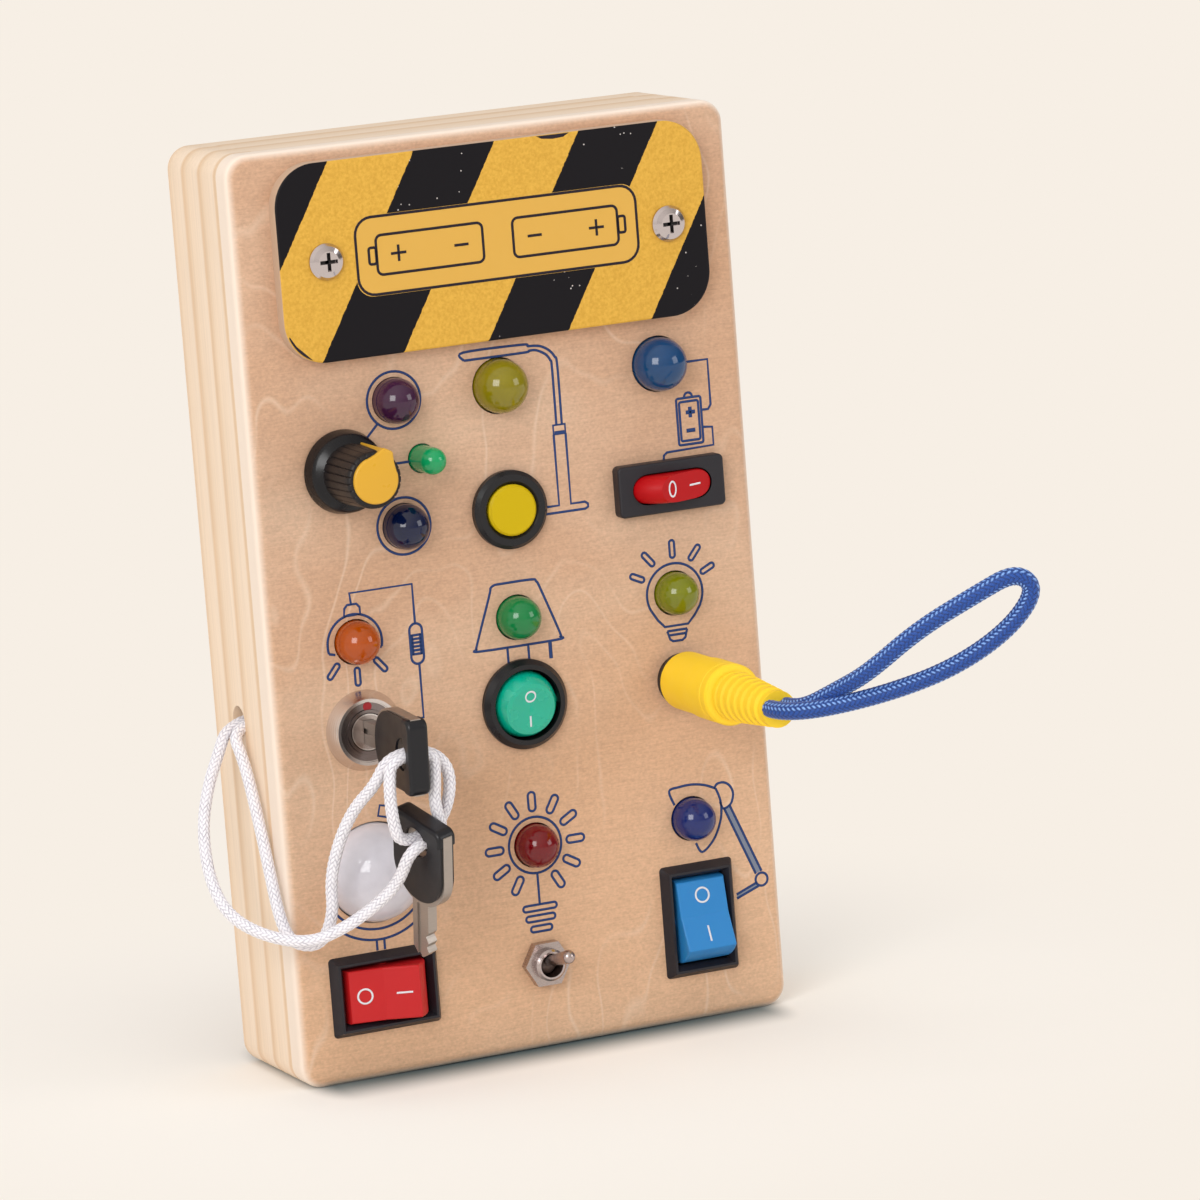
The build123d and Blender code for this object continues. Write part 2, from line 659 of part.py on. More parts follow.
with BuildPart() as knob_cap:
    with BuildSketch(face_plane(*knob, knob_top)):
        Circle(cap_radius)
        with BuildLine(Location((0, 0, 0), (0, 0, pointer_angle))):
            Polyline((pointer_root, pointer_root_half), (pointer_tip, pointer_width / 2),
                     (pointer_tip, -pointer_width / 2), (pointer_root, -pointer_root_half), close=True)
        make_face()
    extrude(amount=cap_height)
    fillet(knob_cap.faces().sort_by(Axis.Y)[0].edges(), cap_edge)
    with BuildSketch(face_plane(*knob, stripe_base)):
        with Locations(Location((0, 0, 0), (0, 0, pointer_angle))):
            with Locations((stripe_centre, 0)):
                Rectangle(stripe_depth, pointer_width)
    extrude(amount=knob_top - stripe_base)
finish(knob_cap, "knob_cap")

# ---------------------------------------------------------------- batteries and their cover
plate_centre = (0.5, board_height - 20.55)
plate_width = board_width - 14.0
plate_height = 36.3
plate_thickness = 3.0
plate_radius = 8.0
plate_screw_spots = [(plate_centre[0] - plate_width / 2 + 9.0, plate_centre[1] + 0.15),
                     (plate_centre[0] + plate_width / 2 - 7.9, plate_centre[1] - 0.85)]
screw_radius = 1.5
screw_head_radius = 3.35
screw_head_height = 1.5

bay = (plate_centre[0], plate_centre[1] - 2.45)
bay_width = 52.0
bay_height = 23.5
tub_wall = 1.5
tub_flange = 4.0
tub_floor = -18.0
battery_radius = 5.25
battery_length = 43.7
battery_button_radius = 1.9
battery_button_length = 0.8
battery_height = tub_floor + battery_radius
contact_thickness = 0.4
contact_width = 9.0
tab_width = 4.0
tab_end = -21.0

with BuildPart() as hazard_plate:
    with BuildSketch(face_plane(*plate_centre)):
        RectangleRounded(plate_width, plate_height, plate_radius)
    extrude(amount=plate_thickness)
    fillet(hazard_plate.faces().sort_by(Axis.Y)[0].edges(), 0.5)
    with BuildSketch(face_plane(0, 0, 0)):
        with Locations(*plate_screw_spots):
            Circle(screw_radius + hole_play)
    extrude(amount=plate_thickness, mode=Mode.SUBTRACT)
finish(hazard_plate, "hazard_plate")

with BuildPart() as plate_screws:
    for x, z in plate_screw_spots:
        with BuildSketch(section_plane(x, z)):
            with BuildLine():
                Polyline((0, plate_thickness + screw_head_height), (0, -4.8), (screw_radius - 0.6, -4.0),
                         (screw_radius, -3.2), (screw_radius, plate_thickness),
                         (screw_head_radius, plate_thickness), (screw_head_radius, plate_thickness + 0.5),
                         (screw_head_radius - 0.5, plate_thickness + 1.1),
                         (screw_head_radius - 1.4, plate_thickness + screw_head_height), close=True)
            make_face()
        revolve(axis=normal_axis(x, z))
        with BuildSketch(face_plane(x, z, plate_thickness + screw_head_height)):
            Rectangle(3.4, 0.7)
            Rectangle(0.7, 3.4)
        extrude(amount=-1.1, mode=Mode.SUBTRACT)
finish(plate_screws, "plate_screws")

with BuildPart() as battery_box:
    with BuildSketch(face_plane(*bay, panel_back)):
        Rectangle(bay_width + 2 * tub_flange, bay_height + 2 * 3.3)
    extrude(amount=-tub_wall)
    with BuildSketch(face_plane(*bay, panel_back)):
        Rectangle(bay_width + 2 * tub_wall, bay_height + 2 * tub_wall)
    extrude(amount=tub_floor - tub_wall - panel_back)
    with BuildSketch(face_plane(*bay, panel_back)):
        Rectangle(bay_width, bay_height)
    extrude(amount=tub_floor - panel_back, mode=Mode.SUBTRACT)
    with BuildSketch(face_plane(*bay, tub_floor)):
        with GridLocations(bay_width - contact_thickness, 0, 2, 1):
            Rectangle(contact_thickness, tab_width)
    extrude(amount=-tub_wall, mode=Mode.SUBTRACT)
finish(battery_box, "battery_box")

battery_rows = [(bay[1] + bay_height / 4, 1), (bay[1] - bay_height / 4, -1)]
contact_inner = bay_width / 2 - contact_thickness
spring_length = 2 * contact_inner - battery_length - battery_button_length


def across(x, z, direction):
    # looking along +X or -X at a battery's middle height
    return Plane(origin=(x, front_y - battery_height, z), x_dir=(0, 0, 1), z_dir=(direction, 0, 0))


with BuildPart() as batteries:
    for z, direction in battery_rows:
        button_tip = bay[0] + direction * contact_inner
        with BuildSketch(across(button_tip, z, -direction)):
            Circle(battery_button_radius)
        extrude(amount=battery_button_length)
        with BuildSketch(across(button_tip - direction * battery_button_length, z, -direction)):
            Circle(battery_radius)
        extrude(amount=battery_length)
finish(batteries, "batteries")

with BuildPart() as battery_contacts:
    for side in (-1, 1):
        wall = bay[0] + side * contact_inner
        for z, direction in battery_rows:
            with BuildSketch(across(wall, z, side)):
                Rectangle(contact_width, contact_width)
            extrude(amount=contact_thickness)
            if direction != side:
                add(coil(across(wall, z, -side), 2.8, 0.3, spring_length, 4).part)
        with BuildSketch(face_plane(wall + side * contact_thickness / 2, bay[1], battery_height)):
            Rectangle(contact_thickness, tab_width)
        extrude(amount=tab_end - battery_height)
finish(battery_contacts, "battery_contacts")

# ---------------------------------------------------------------- terminals and wiring
terminal_spacing = 3.5         # either side of each switch's centre
terminal_reach = 3.5
wire_radius = 0.55
signal_level = -21.9           # heights of the three layers of wire
supply_level = -23.2
return_level = -24.6
supply_x = inner_half_width - 1.4
bay_wire_drop = 15.0
return_x = -16.0

# (x, z, height of the back of the body, the lamps it feeds)
switch_spots = [
    (*red_switch, switch_body_floor, ["lamp_white_dome"]),
    (*blue_switch, switch_body_floor, ["lamp_violet"]),
    (*round_switch, switch_body_floor, ["lamp_green"]),
    (*oval_switch, switch_body_floor, ["lamp_blue"]),
    (*toggle, toggle_floor, ["lamp_red"]),
    (*button, button_base, ["lamp_yellow"]),
    (*lock, lock_base, ["lamp_orange"]),
    (*socket, socket_base, ["lamp_olive"]),
    (*knob, pot_floor, ["lamp_purple", "lamp_navy", "lamp_small_green"]),
]

with BuildPart() as switch_terminals:
    for x, z, body_floor, fed in switch_spots:
        with BuildSketch(face_plane(x, z, body_floor)):
            with GridLocations(0, 2 * terminal_spacing, 1, 2):
                Rectangle(terminal_width, terminal_thickness)
        extrude(amount=-terminal_reach)
finish(switch_terminals, "switch_terminals")


def inside(x, z, height):
    return (x, front_y - height, z)


def lead_end(lamp_name, side):
    x, z, diameter, dome_centre, lip = lamps[lamp_name]
    return x + side * lead_pitch / 2, z, lamp_flange_base(lip) - lead_length


def link(start, end, level):
    # straight down from one end, across at the level and up to the other
    return [inside(*start), inside(start[0], start[1], level), inside(end[0], end[1], level), inside(*end)]


runs = []
for x, z, body_floor, fed in switch_spots:
    upper = (x, z + terminal_spacing, body_floor - terminal_reach)
    lower = (x, z - terminal_spacing, body_floor - terminal_reach)
    for index, lamp_name in enumerate(fed):
        target = (upper[0] + 1.4 * (index - (len(fed) - 1) / 2), upper[1], upper[2])
        runs.append(link(lead_end(lamp_name, 1), target, signal_level))
    runs.append([inside(*lower), inside(x, lower[1], supply_level), inside(supply_x, lower[1], supply_level)])
for lamp_name in lamps:
    x, z, height = lead_end(lamp_name, -1)
    runs.append([inside(x, z, height), inside(x, z, return_level), inside(return_x, z, return_level)])
plus_x = bay[0] + contact_inner + contact_thickness / 2
minus_x = bay[0] - contact_inner - contact_thickness / 2
runs.append([inside(plus_x, bay[1], tab_end), inside(plus_x, bay[1], supply_level),
             inside(supply_x, bay[1] - bay_wire_drop, supply_level),
             inside(supply_x, low_switch_z - 4, supply_level)])
runs.append([inside(minus_x, bay[1], tab_end), inside(minus_x, bay[1], return_level),
             inside(return_x, bay[1] - bay_wire_drop, return_level),
             inside(return_x, low_lamp_z - 1, return_level)])

with BuildPart() as wiring:
    for points in runs:
        shortest = min((Vector(*b) - Vector(*a)).length for a, b in zip(points, points[1:]))
        with BuildLine():
            curve = FilletPolyline(*points, radius=min(1.5, 0.45 * shortest))
        with BuildSketch(Plane(origin=curve @ 0, z_dir=curve % 0)):
            Circle(wire_radius)
        sweep()
finish(wiring, "wiring")

# ---------------------------------------------------------------- frame, front panel and back
inner_height = board_height - 2 * rail_thickness
rebate_width = board_width - 2 * back_lip
rebate_height = board_height - 2 * back_lip
cord_hole = (lock[1] + 1.7, 17.45)      # height and depth behind the front face, in the left rail
cord_hole_radius = 2.95


def rail(x, z, width, height):
    with BuildPart() as piece:
        with BuildSketch(face_plane(0, board_height / 2, panel_back)):
            RectangleRounded(board_width, board_height, corner_radius)
            with Locations((x, z - board_height / 2)):
                Rectangle(width, height, mode=Mode.INTERSECT)
        extrude(amount=-(board_depth - panel_thickness))
        with BuildSketch(face_plane(0, board_height / 2, -board_depth)):
            RectangleRounded(rebate_width, rebate_height, 1.0)
        extrude(amount=back_thickness, mode=Mode.SUBTRACT)
        with BuildSketch(face_plane(0, 0, cavity_floor)):
            with Locations(*back_screw_spots):
                Circle(back_screw_radius)
        extrude(amount=back_screw_length - back_thickness, mode=Mode.SUBTRACT)
    return piece


back_screw_radius = 1.2
back_screw_head = 2.1
back_screw_length = 12.0
back_screw_x = board_width / 2 - 5.1
back_screw_inset = 12.0        # of the end screws, from the board's ends
back_screw_sink = 1.4
back_screw_spots = [(side * back_screw_x, z) for side in (-1, 1)
                    for z in (back_screw_inset, board_height / 2, board_height - back_screw_inset)]

side_x = (board_width - rail_thickness) / 2
with BuildPart() as left_rail:
    add(rail(-side_x, board_height / 2, rail_thickness, board_height).part)
    with BuildSketch(Plane(origin=(-board_width / 2, front_y + cord_hole[1], cord_hole[0]), z_dir=(1, 0, 0))):
        Circle(cord_hole_radius)
    extrude(amount=rail_thickness, mode=Mode.SUBTRACT)
finish(left_rail, "left_rail")
finish(rail(side_x, board_height / 2, rail_thickness, board_height), "right_rail")
finish(rail(0, board_height - rail_thickness / 2, 2 * inner_half_width, rail_thickness), "top_rail")
finish(rail(0, rail_thickness / 2, 2 * inner_half_width, rail_thickness), "bottom_rail")

with BuildPart() as back_panel:
    with BuildSketch(face_plane(0, board_height / 2, -board_depth)):
        RectangleRounded(rebate_width - 2 * back_play, rebate_height - 2 * back_play, 1.0)
    extrude(amount=back_thickness)
    with BuildSketch(face_plane(0, 0, -board_depth)):
        with Locations(*back_screw_spots):
            Circle(back_screw_head)
    extrude(amount=back_screw_sink, mode=Mode.SUBTRACT)
    with BuildSketch(face_plane(0, 0, -board_depth)):
        with Locations(*back_screw_spots):
            Circle(back_screw_radius)
    extrude(amount=back_thickness, mode=Mode.SUBTRACT)
finish(back_panel, "back_panel")

with BuildPart() as back_screws:
    with BuildSketch(face_plane(0, 0, -board_depth + back_screw_sink)):
        with Locations(*back_screw_spots):
            Circle(back_screw_head)
    extrude(amount=-1.2)
    with BuildSketch(face_plane(0, 0, -board_depth + back_screw_sink)):
        with Locations(*back_screw_spots):
            Circle(back_screw_radius)
    extrude(amount=back_screw_length - back_screw_sink)
    with BuildSketch(face_plane(0, 0, -board_depth + 0.2)):
        with Locations(*back_screw_spots):
            Rectangle(2.4, 0.6)
            Rectangle(0.6, 2.4)
    extrude(amount=0.7, mode=Mode.SUBTRACT)
finish(back_screws, "back_screws")

lamp_play = 0.25
with BuildPart() as front_panel:
    with BuildSketch(face_plane(0, board_height / 2)):
        RectangleRounded(board_width, board_height, corner_radius)
    extrude(amount=-panel_thickness)
    fillet(front_panel.faces().sort_by(Axis.Y)[0].edges(), edge_round)
    for x, z, diameter, dome_centre, lip in lamps.values():
        with BuildSketch(face_plane(x, z)):
            Circle(diameter / 2 + lamp_play)
        extrude(amount=-panel_thickness, mode=Mode.SUBTRACT)
        if lip < panel_thickness:
            with BuildSketch(face_plane(x, z, -lip)):
                Circle(diameter / 2 + flange_overhang + hole_play)
            extrude(amount=-(panel_thickness - lip), mode=Mode.SUBTRACT)
    with BuildSketch(face_plane(0, 0)):
        with Locations(button, lock):
            Circle(thread_radius + hole_play)
        with Locations(socket):
            Circle(socket_thread + hole_play)
        with Locations(toggle):
            Circle(bushing_radius + hole_play)
        with Locations(knob):
            Circle(pot_bushing_radius + hole_play)
        with Locations(round_switch):
            Circle(round_body_radius + hole_play)
        with Locations(red_switch):
            Rectangle(switch_body_length + 2 * hole_play, switch_body_width + 2 * hole_play)
        with Locations(blue_switch):
            Rectangle(switch_body_width + 2 * hole_play, switch_body_length + 2 * hole_play)
        with Locations(oval_switch):
            Rectangle(switch_body_length + 2 * hole_play, oval_body_width + 2 * hole_play)
        with Locations(bay):
            Rectangle(bay_width, bay_height)
    extrude(amount=-panel_thickness, mode=Mode.SUBTRACT)
    with BuildSketch(face_plane(0, 0)):
        with Locations(*plate_screw_spots):
            Circle(screw_radius + running_play)
    extrude(amount=-5.0, mode=Mode.SUBTRACT)
finish(front_panel, "front_panel")

# ---------------------------------------------------------------- cords
# Each is a list of corners, from one end to the other, joined by straight runs and tangent arcs.
# x is from the board's middle, the second number is the depth behind the front face, z from the base,
# as they are with the lock or the socket at the place named with them, which they follow.
white_radius = 1.15
white_points = [
    (-46.0, 16.1, 66.7), (-51.9, 15.9, 66.2), (-51.3, 11.7, 60.2), (-51.2, 7.5, 50.4), (-51.2, 4.1, 41.2),
    (-51.3, 0.8, 32.9), (-51.0, -3.4, 28.8), (-46.5, -6.4, 28.1), (-44.4, -8.6, 33.8), (-44.9, -9.8, 41.0),
    (-43.2, -11.6, 48.3), (-40.9, -14.4, 54.3), (-38.1, -18.2, 58.5), (-35.8, -19.7, 63.5), (-28.2, -19.7, 63.9),
    (-24.1, -19.6, 60.4), (-24.0, -19.0, 54.4), (-26.7, -18.25, 48.9), (-35.0, -20.2, 47.4),
    (-36.5, -21.2, 52.5), (-36.9, -22.0, 58.5), (-36.3, -22.15, 63.6), (-27.9, -22.15, 64.0),
    (-27.9, -22.1, 59.2), (-28.3, -21.5, 54.0), (-26.3, -20.5, 48.1), (-33.9, -22.25, 46.8),
    (-34.9, -17.8, 39.9), (-39.3, -14.7, 35.3), (-44.1, -12.4, 32.1), (-49.9, -9.4, 29.7), (-56.9, -5.0, 31.5),
    (-60.9, 1.5, 34.8), (-62.0, 6.5, 40.6), (-61.3, 10.0, 49.3), (-58.5, 12.8, 56.5), (-55.0, 15.4, 61.6),
    (-51.8, 18.0, 66.2), (-46.0, 18.8, 66.9)]

blue_radius = 1.65
blue_points = [
    (30.5, -41.0, 65.6), (30.5, -46.5, 65.6), (36.3, -53.0, 66.5), (46.5, -61.0, 69.4), (55.9, -67.4, 73.5),
    (64.5, -71.8, 79.7), (69.0, -73.7, 86.3), (65.4, -73.0, 89.8), (58.5, -70.0, 86.1), (49.3, -65.0, 80.5),
    (41.7, -59.0, 72.9), (38.5, -53.0, 69.5), (33.9, -46.5, 65.6), (33.9, -41.0, 65.6)]


def cord(name, points, radius, anchor, drawn_at):
    move_x, move_z = anchor[0] - drawn_at[0], anchor[1] - drawn_at[1]
    corners = [Vector(x + move_x, front_y + depth, z + move_z) for x, depth, z in points]
    steps = [after - before for before, after in zip(corners, corners[1:])]
    bends = [0.45 * min(a.length, b.length) / tan(radians(a.get_angle(b) / 2))
             for a, b in zip(steps, steps[1:])]
    with BuildPart() as piece:
        with BuildLine():
            curve = FilletPolyline(*corners, radius=bends)
        with BuildSketch(Plane(origin=curve @ 0, z_dir=curve % 0)):
            Circle(radius)
        sweep()
    length = curve.length
    expected = pi * radius**2 * length
    print(f"{name}: length {length:.1f}, volume {piece.part.volume:.1f} of {expected:.1f}")
    print(f"{name} arc radii: {', '.join(f'{bend:.1f}' for bend in bends)}")
    finish(piece, name)


cord("white_cord", white_points, white_radius, lock, (-32.0, 65.1))
cord("blue_cord", blue_points, blue_radius, socket, (32.2, 65.2))
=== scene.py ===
import math

import bmesh
import bpy
from mathutils import Matrix, Vector


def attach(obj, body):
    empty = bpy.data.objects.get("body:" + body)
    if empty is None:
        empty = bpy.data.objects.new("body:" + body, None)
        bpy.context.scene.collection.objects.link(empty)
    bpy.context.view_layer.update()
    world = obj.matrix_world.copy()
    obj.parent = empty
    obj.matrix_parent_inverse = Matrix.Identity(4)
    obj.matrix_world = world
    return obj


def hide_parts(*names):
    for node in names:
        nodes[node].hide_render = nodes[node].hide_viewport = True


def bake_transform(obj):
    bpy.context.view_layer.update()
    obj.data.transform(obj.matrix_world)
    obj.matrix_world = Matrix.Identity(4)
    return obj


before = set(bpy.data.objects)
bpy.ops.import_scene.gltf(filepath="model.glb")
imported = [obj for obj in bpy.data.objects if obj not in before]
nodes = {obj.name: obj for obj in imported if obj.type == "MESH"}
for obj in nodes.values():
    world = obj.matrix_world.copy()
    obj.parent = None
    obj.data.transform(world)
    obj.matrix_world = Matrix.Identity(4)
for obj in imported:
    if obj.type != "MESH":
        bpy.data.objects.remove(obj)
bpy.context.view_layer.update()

mm = 0.001
frontY = -14.75   # front face of the board, millimetres; heights are measured out from it
print("frame loaded:", len(nodes), "nodes")


# small tools

def place(x, z, height=0.0):
    return Vector((x, frontY - height, z)) * mm


def linear(hexColour):
    # sRGB hex to the linear values that Blender wants
    channels = [int(hexColour[i:i + 2], 16) / 255 for i in (1, 3, 5)]
    return [c / 12.92 if c <= 0.04045 else ((c + 0.055) / 1.055) ** 2.4 for c in channels] + [1.0]


def addNode(tree, kind, inputs=None, stops=(), to=None, **settings):
    # kind leaves out the prefix of shader nodes; inputs maps a socket's name or number to a value, or to
    # the socket or node that feeds it; stops are a ramp's positions and colours; the first output feeds to
    node = tree.nodes.new("ShaderNode" + kind)
    for name, value in settings.items():
        setattr(node, name, value)
    for name, value in (inputs or {}).items():
        if isinstance(value, bpy.types.Node):
            value = value.outputs[0]
        if isinstance(value, bpy.types.NodeSocket):
            tree.links.new(value, node.inputs[name])
        else:
            node.inputs[name].default_value = value
    if stops:
        elements = node.color_ramp.elements
        while len(elements) < len(stops):
            elements.new(0.5)
        for element, (position, colour) in zip(elements, stops):
            element.position = position
            element.color = linear(colour)
    if to is not None:
        tree.links.new(node.outputs[0], to)
    return node


def newMaterial(name, **values):
    material = bpy.data.materials.new(name)
    material.use_nodes = True
    shader = material.node_tree.nodes["Principled BSDF"]
    for socket, value in values.items():
        shader.inputs[socket.replace("_", " ")].default_value = value
    return material, material.node_tree, shader


def objectPoint(tree, sizes, turn=(0, 0, 0)):
    # object coordinates counted in steps of the given sizes, millimetres
    point = addNode(tree, "TexCoord").outputs["Object"]
    scale = [1 / (size * mm) for size in sizes]
    return addNode(tree, "Mapping", {"Vector": point, "Rotation": turn, "Scale": scale})


def paint(nodeName, material):
    mesh = nodes[nodeName].data
    mesh.materials.clear()
    mesh.materials.append(material)


def addPiece(name, mesh, material, body, replaces=()):
    mesh.materials.clear()
    mesh.materials.append(material)
    piece = bpy.data.objects.new(name, mesh)
    bpy.context.scene.collection.objects.link(piece)
    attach(piece, body)
    if replaces:
        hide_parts(*replaces)
    return piece


def toObject(name, bm, material, body, smoothAngle=30, replaces=()):
    bmesh.ops.remove_doubles(bm, verts=bm.verts, dist=1e-7)
    bmesh.ops.recalc_face_normals(bm, faces=bm.faces)
    limit = math.radians(smoothAngle)
    for face in bm.faces:
        face.smooth = True
    for edge in bm.edges:
        edge.smooth = len(edge.link_faces) == 2 and edge.calc_face_angle(0) < limit
    mesh = bpy.data.meshes.new(name)
    bm.to_mesh(mesh)
    bm.free()
    return addPiece(name, mesh, material, body, replaces)


def turnedPiece(name, outline, x, z, material, body, steps=96, replaces=()):
    # spins (radius, height) points round the panel's normal at x, z
    bm = bmesh.new()
    verts = [bm.verts.new(place(x + radius, z, height)) for radius, height in outline]
    edges = [bm.edges.new(pair) for pair in zip(verts, verts[1:])]
    bmesh.ops.spin(bm, geom=verts + edges, cent=place(x, z), axis=(0, 1, 0), angle=2 * math.pi,
                   steps=steps, use_merge=True)
    return toObject(name, bm, material, body, smoothAngle=28, replaces=replaces)


def closeTube(bm, rings):
    # walls between equal rings of vertices, and a face at each end
    for a, b in zip(rings, rings[1:]):
        for k in range(len(a)):
            bm.faces.new((a[k], a[(k + 1) % len(a)], b[(k + 1) % len(a)], b[k]))
    bm.faces.new(rings[0])
    bm.faces.new(rings[-1])


def arc(x, z, radius, start, end, steps=40):
    angles = [math.radians(start + (end - start) * i / steps) for i in range(steps + 1)]
    return [(x + radius * math.cos(angle), z + radius * math.sin(angle)) for angle in angles]


# camera

camera = {"lens": 193.2, "sensorWidth": 36,
          "right": (0.905367, -0.417793, -0.075889),
          "up": (0.139087, 0.122920, 0.982622),
          "back": (-0.401205, -0.900188, 0.169398),
          "at": (-0.46088, -1.08683, 0.28407)}
cameraData = bpy.data.cameras.new("camera")
cameraData.lens = camera["lens"]
cameraData.sensor_width = camera["sensorWidth"]
cameraObject = bpy.data.objects.new("camera", cameraData)
rows = list(zip(camera["right"], camera["up"], camera["back"], camera["at"]))
cameraObject.matrix_world = Matrix(rows + [(0, 0, 0, 1)])
bpy.context.scene.collection.objects.link(cameraObject)
bpy.context.scene.camera = cameraObject
print("camera done")

# cords

whiteCord = {
    "points": [
        (-46.0, 16.1, 66.7), (-51.9, 15.9, 66.2), (-51.3, 11.7, 60.2), (-51.2, 7.5, 50.4),
        (-51.2, 4.1, 41.2), (-51.3, 0.8, 32.9), (-51.0, -3.4, 28.8), (-46.5, -6.4, 28.1),
        (-44.4, -8.6, 33.8), (-44.9, -9.8, 41.0), (-43.2, -11.6, 48.3), (-40.9, -14.4, 54.3),
        (-38.1, -18.2, 58.5), (-35.8, -19.7, 63.5), (-28.2, -19.7, 63.9), (-24.1, -19.6, 60.4),
        (-24.0, -19.0, 54.4), (-26.7, -18.25, 48.9), (-35.0, -20.2, 47.4), (-36.5, -21.2, 52.5),
        (-36.9, -22.0, 58.5), (-36.3, -22.15, 63.6), (-27.9, -22.15, 64.0), (-27.9, -22.1, 59.2),
        (-28.3, -21.5, 54.0), (-26.3, -20.5, 48.1), (-33.9, -22.25, 46.8), (-34.9, -17.8, 39.9),
        (-39.3, -14.7, 35.3), (-44.1, -12.4, 32.1), (-49.9, -9.4, 29.7), (-56.9, -5.0, 31.5),
        (-60.9, 1.5, 34.8), (-62.0, 6.5, 40.6), (-61.3, 10.0, 49.3), (-58.5, 12.8, 56.5),
        (-55.0, 15.4, 61.6), (-51.8, 18.0, 66.2), (-46.0, 18.8, 66.9)],
    "radius": 1.15,
    "sides": 60,
    "strands": 10,       # plaits in each direction round the cord
    "plaitLength": 1.1,
    "relief": 0.17,
    "ringStep": 0.19,
    "pale": (),
}
blueCord = {
    "points": [
        (30.5, -41.0, 65.6), (30.5, -46.5, 65.6), (36.3, -53.0, 66.5), (46.5, -61.0, 69.4),
        (55.9, -67.4, 73.5), (64.5, -71.8, 79.7), (69.0, -73.7, 86.3), (65.4, -73.0, 89.8),
        (58.5, -70.0, 86.1), (49.3, -65.0, 80.5), (41.7, -59.0, 72.9), (38.5, -53.0, 69.5),
        (33.9, -46.5, 65.6), (33.9, -41.0, 65.6)],
    "radius": 1.65,
    "sides": 60,
    "strands": 12,
    "plaitLength": 0.95,
    "relief": 0.16,
    "ringStep": 0.16,
    "pale": (0, 1, 4, 5, 8, 9),      # columns of stitches in the paler yarn
}
fleckFrom, fleckBlend = 0.72, 0.16   # height of a stitch where the paler yarn begins, and its soft edge


def cordSpline(points):
    curve = bpy.data.curves.new("route", "CURVE")
    curve.dimensions = "3D"
    spline = curve.splines.new("NURBS")
    spline.points.add(len(points) - 1)
    for point, (x, depth, z) in zip(spline.points, points):
        point.co = (x * mm, (frontY + depth) * mm, z * mm, 1)
    spline.order_u = 3
    spline.use_endpoint_u = True
    spline.resolution_u = 10
    holder = bpy.data.objects.new("route", curve)
    bpy.context.scene.collection.objects.link(holder)
    line = bpy.data.meshes.new_from_object(holder)
    path = [v.co.copy() for v in line.vertices]
    bpy.data.objects.remove(holder)
    bpy.data.meshes.remove(line)
    return path


def evenPoints(path, step):
    # the same line with points a fixed step apart
    lengths = [0.0]
    for a, b in zip(path, path[1:]):
        lengths.append(lengths[-1] + (b - a).length)
    count = max(2, round(lengths[-1] / step))
    points, at = [], 0
    for i in range(count + 1):
        target = lengths[-1] * i / count
        while at < len(path) - 2 and lengths[at + 1] < target:
            at += 1
        share = (target - lengths[at]) / max(lengths[at + 1] - lengths[at], 1e-12)
        points.append(path[at].lerp(path[at + 1], min(share, 1)))
    return points, lengths[-1]


def plaitHeight(around, along):
    # two families of strands, each over two and under two of the other, so the stitches stand in V columns
    a, b = around + along, around - along
    step = (math.floor(a) + math.floor(b)) % 4
    across, lengthwise = (a % 1, step + b % 1) if step < 2 else (b % 1, step - 2 + a % 1)
    height = math.sin(math.pi * across) ** 0.6 * (0.5 + 0.5 * math.sin(math.pi * lengthwise / 2))
    return height, (math.floor(a) + math.floor(b)) // 2


def braidedCord(settings):
    path = cordSpline(settings["points"])
    points, length = evenPoints(path, settings["ringStep"] * mm)
    bm = bmesh.new()
    shade = bm.verts.layers.float_color.new("braid")
    tangent = (points[1] - points[0]).normalized()
    normal = tangent.orthogonal().normalized()
    rings = []
    for i, point in enumerate(points):
        ahead = points[min(i + 1, len(points) - 1)] - points[max(i - 1, 0)]
        turn = tangent.rotation_difference(ahead.normalized())
        normal = (turn @ normal).normalized()
        tangent = ahead.normalized()
        side = tangent.cross(normal)
        along = i * length / (len(points) - 1) / (settings["plaitLength"] * mm)
        ring = []
        for k in range(settings["sides"]):
            share = k / settings["sides"]
            height, column = plaitHeight(share * settings["strands"], along)
            radius = (settings["radius"] - settings["relief"] * (1 - height)) * mm
            angle = 2 * math.pi * share
            vert = bm.verts.new(point + (normal * math.cos(angle) + side * math.sin(angle)) * radius)
            pale = column % settings["strands"] in settings["pale"]
            fleck = min(1.0, max(0.0, (height - fleckFrom) / fleckBlend)) if pale else 0.0
            # red holds the plait's height, which the material turns into painted shade; green holds the paler
            # yarn
            vert[shade] = (height, fleck, 0, 1)
            ring.append(vert)
        rings.append(ring)
    closeTube(bm, rings)
    return bm, path, length


def cordMaterial(name, creviceShade, base, pale):
    # spun polyester braid: matt fibres with a soft sheen, with painted shade darkening the colour between the
    # plaits
    material, tree, shader = newMaterial(name, Roughness=0.62, Sheen_Weight=0.35, Sheen_Roughness=0.4)
    braid = addNode(tree, "VertexColor", layer_name="braid").outputs["Color"]
    parts = addNode(tree, "SeparateColor", {"Color": braid})
    # painted shade: the lower the plait's height at a spot, the darker its colour
    body = addNode(tree, "ValToRGB", {"Fac": parts.outputs["Red"]},
                   stops=[(0.0, creviceShade), (0.75, base), (1.0, base)])
    fleck = addNode(tree, "Mix", {
        "Factor": parts.outputs["Green"], 6: body, 7: linear(pale)}, data_type="RGBA")
    tree.links.new(fleck.outputs[2], shader.inputs["Base Color"])
    # filaments, 0.09 mm apart, drawn coarser than real so that they show
    fibre = addNode(tree, "TexNoise", {
        "Vector": objectPoint(tree, (0.25,) * 3), "Scale": 1.0, "Detail": 3.0})
    addNode(tree, "Bump", {"Height": fibre, "Strength": 0.25, "Distance": 0.08 * mm},
            to=shader.inputs["Normal"])
    return material
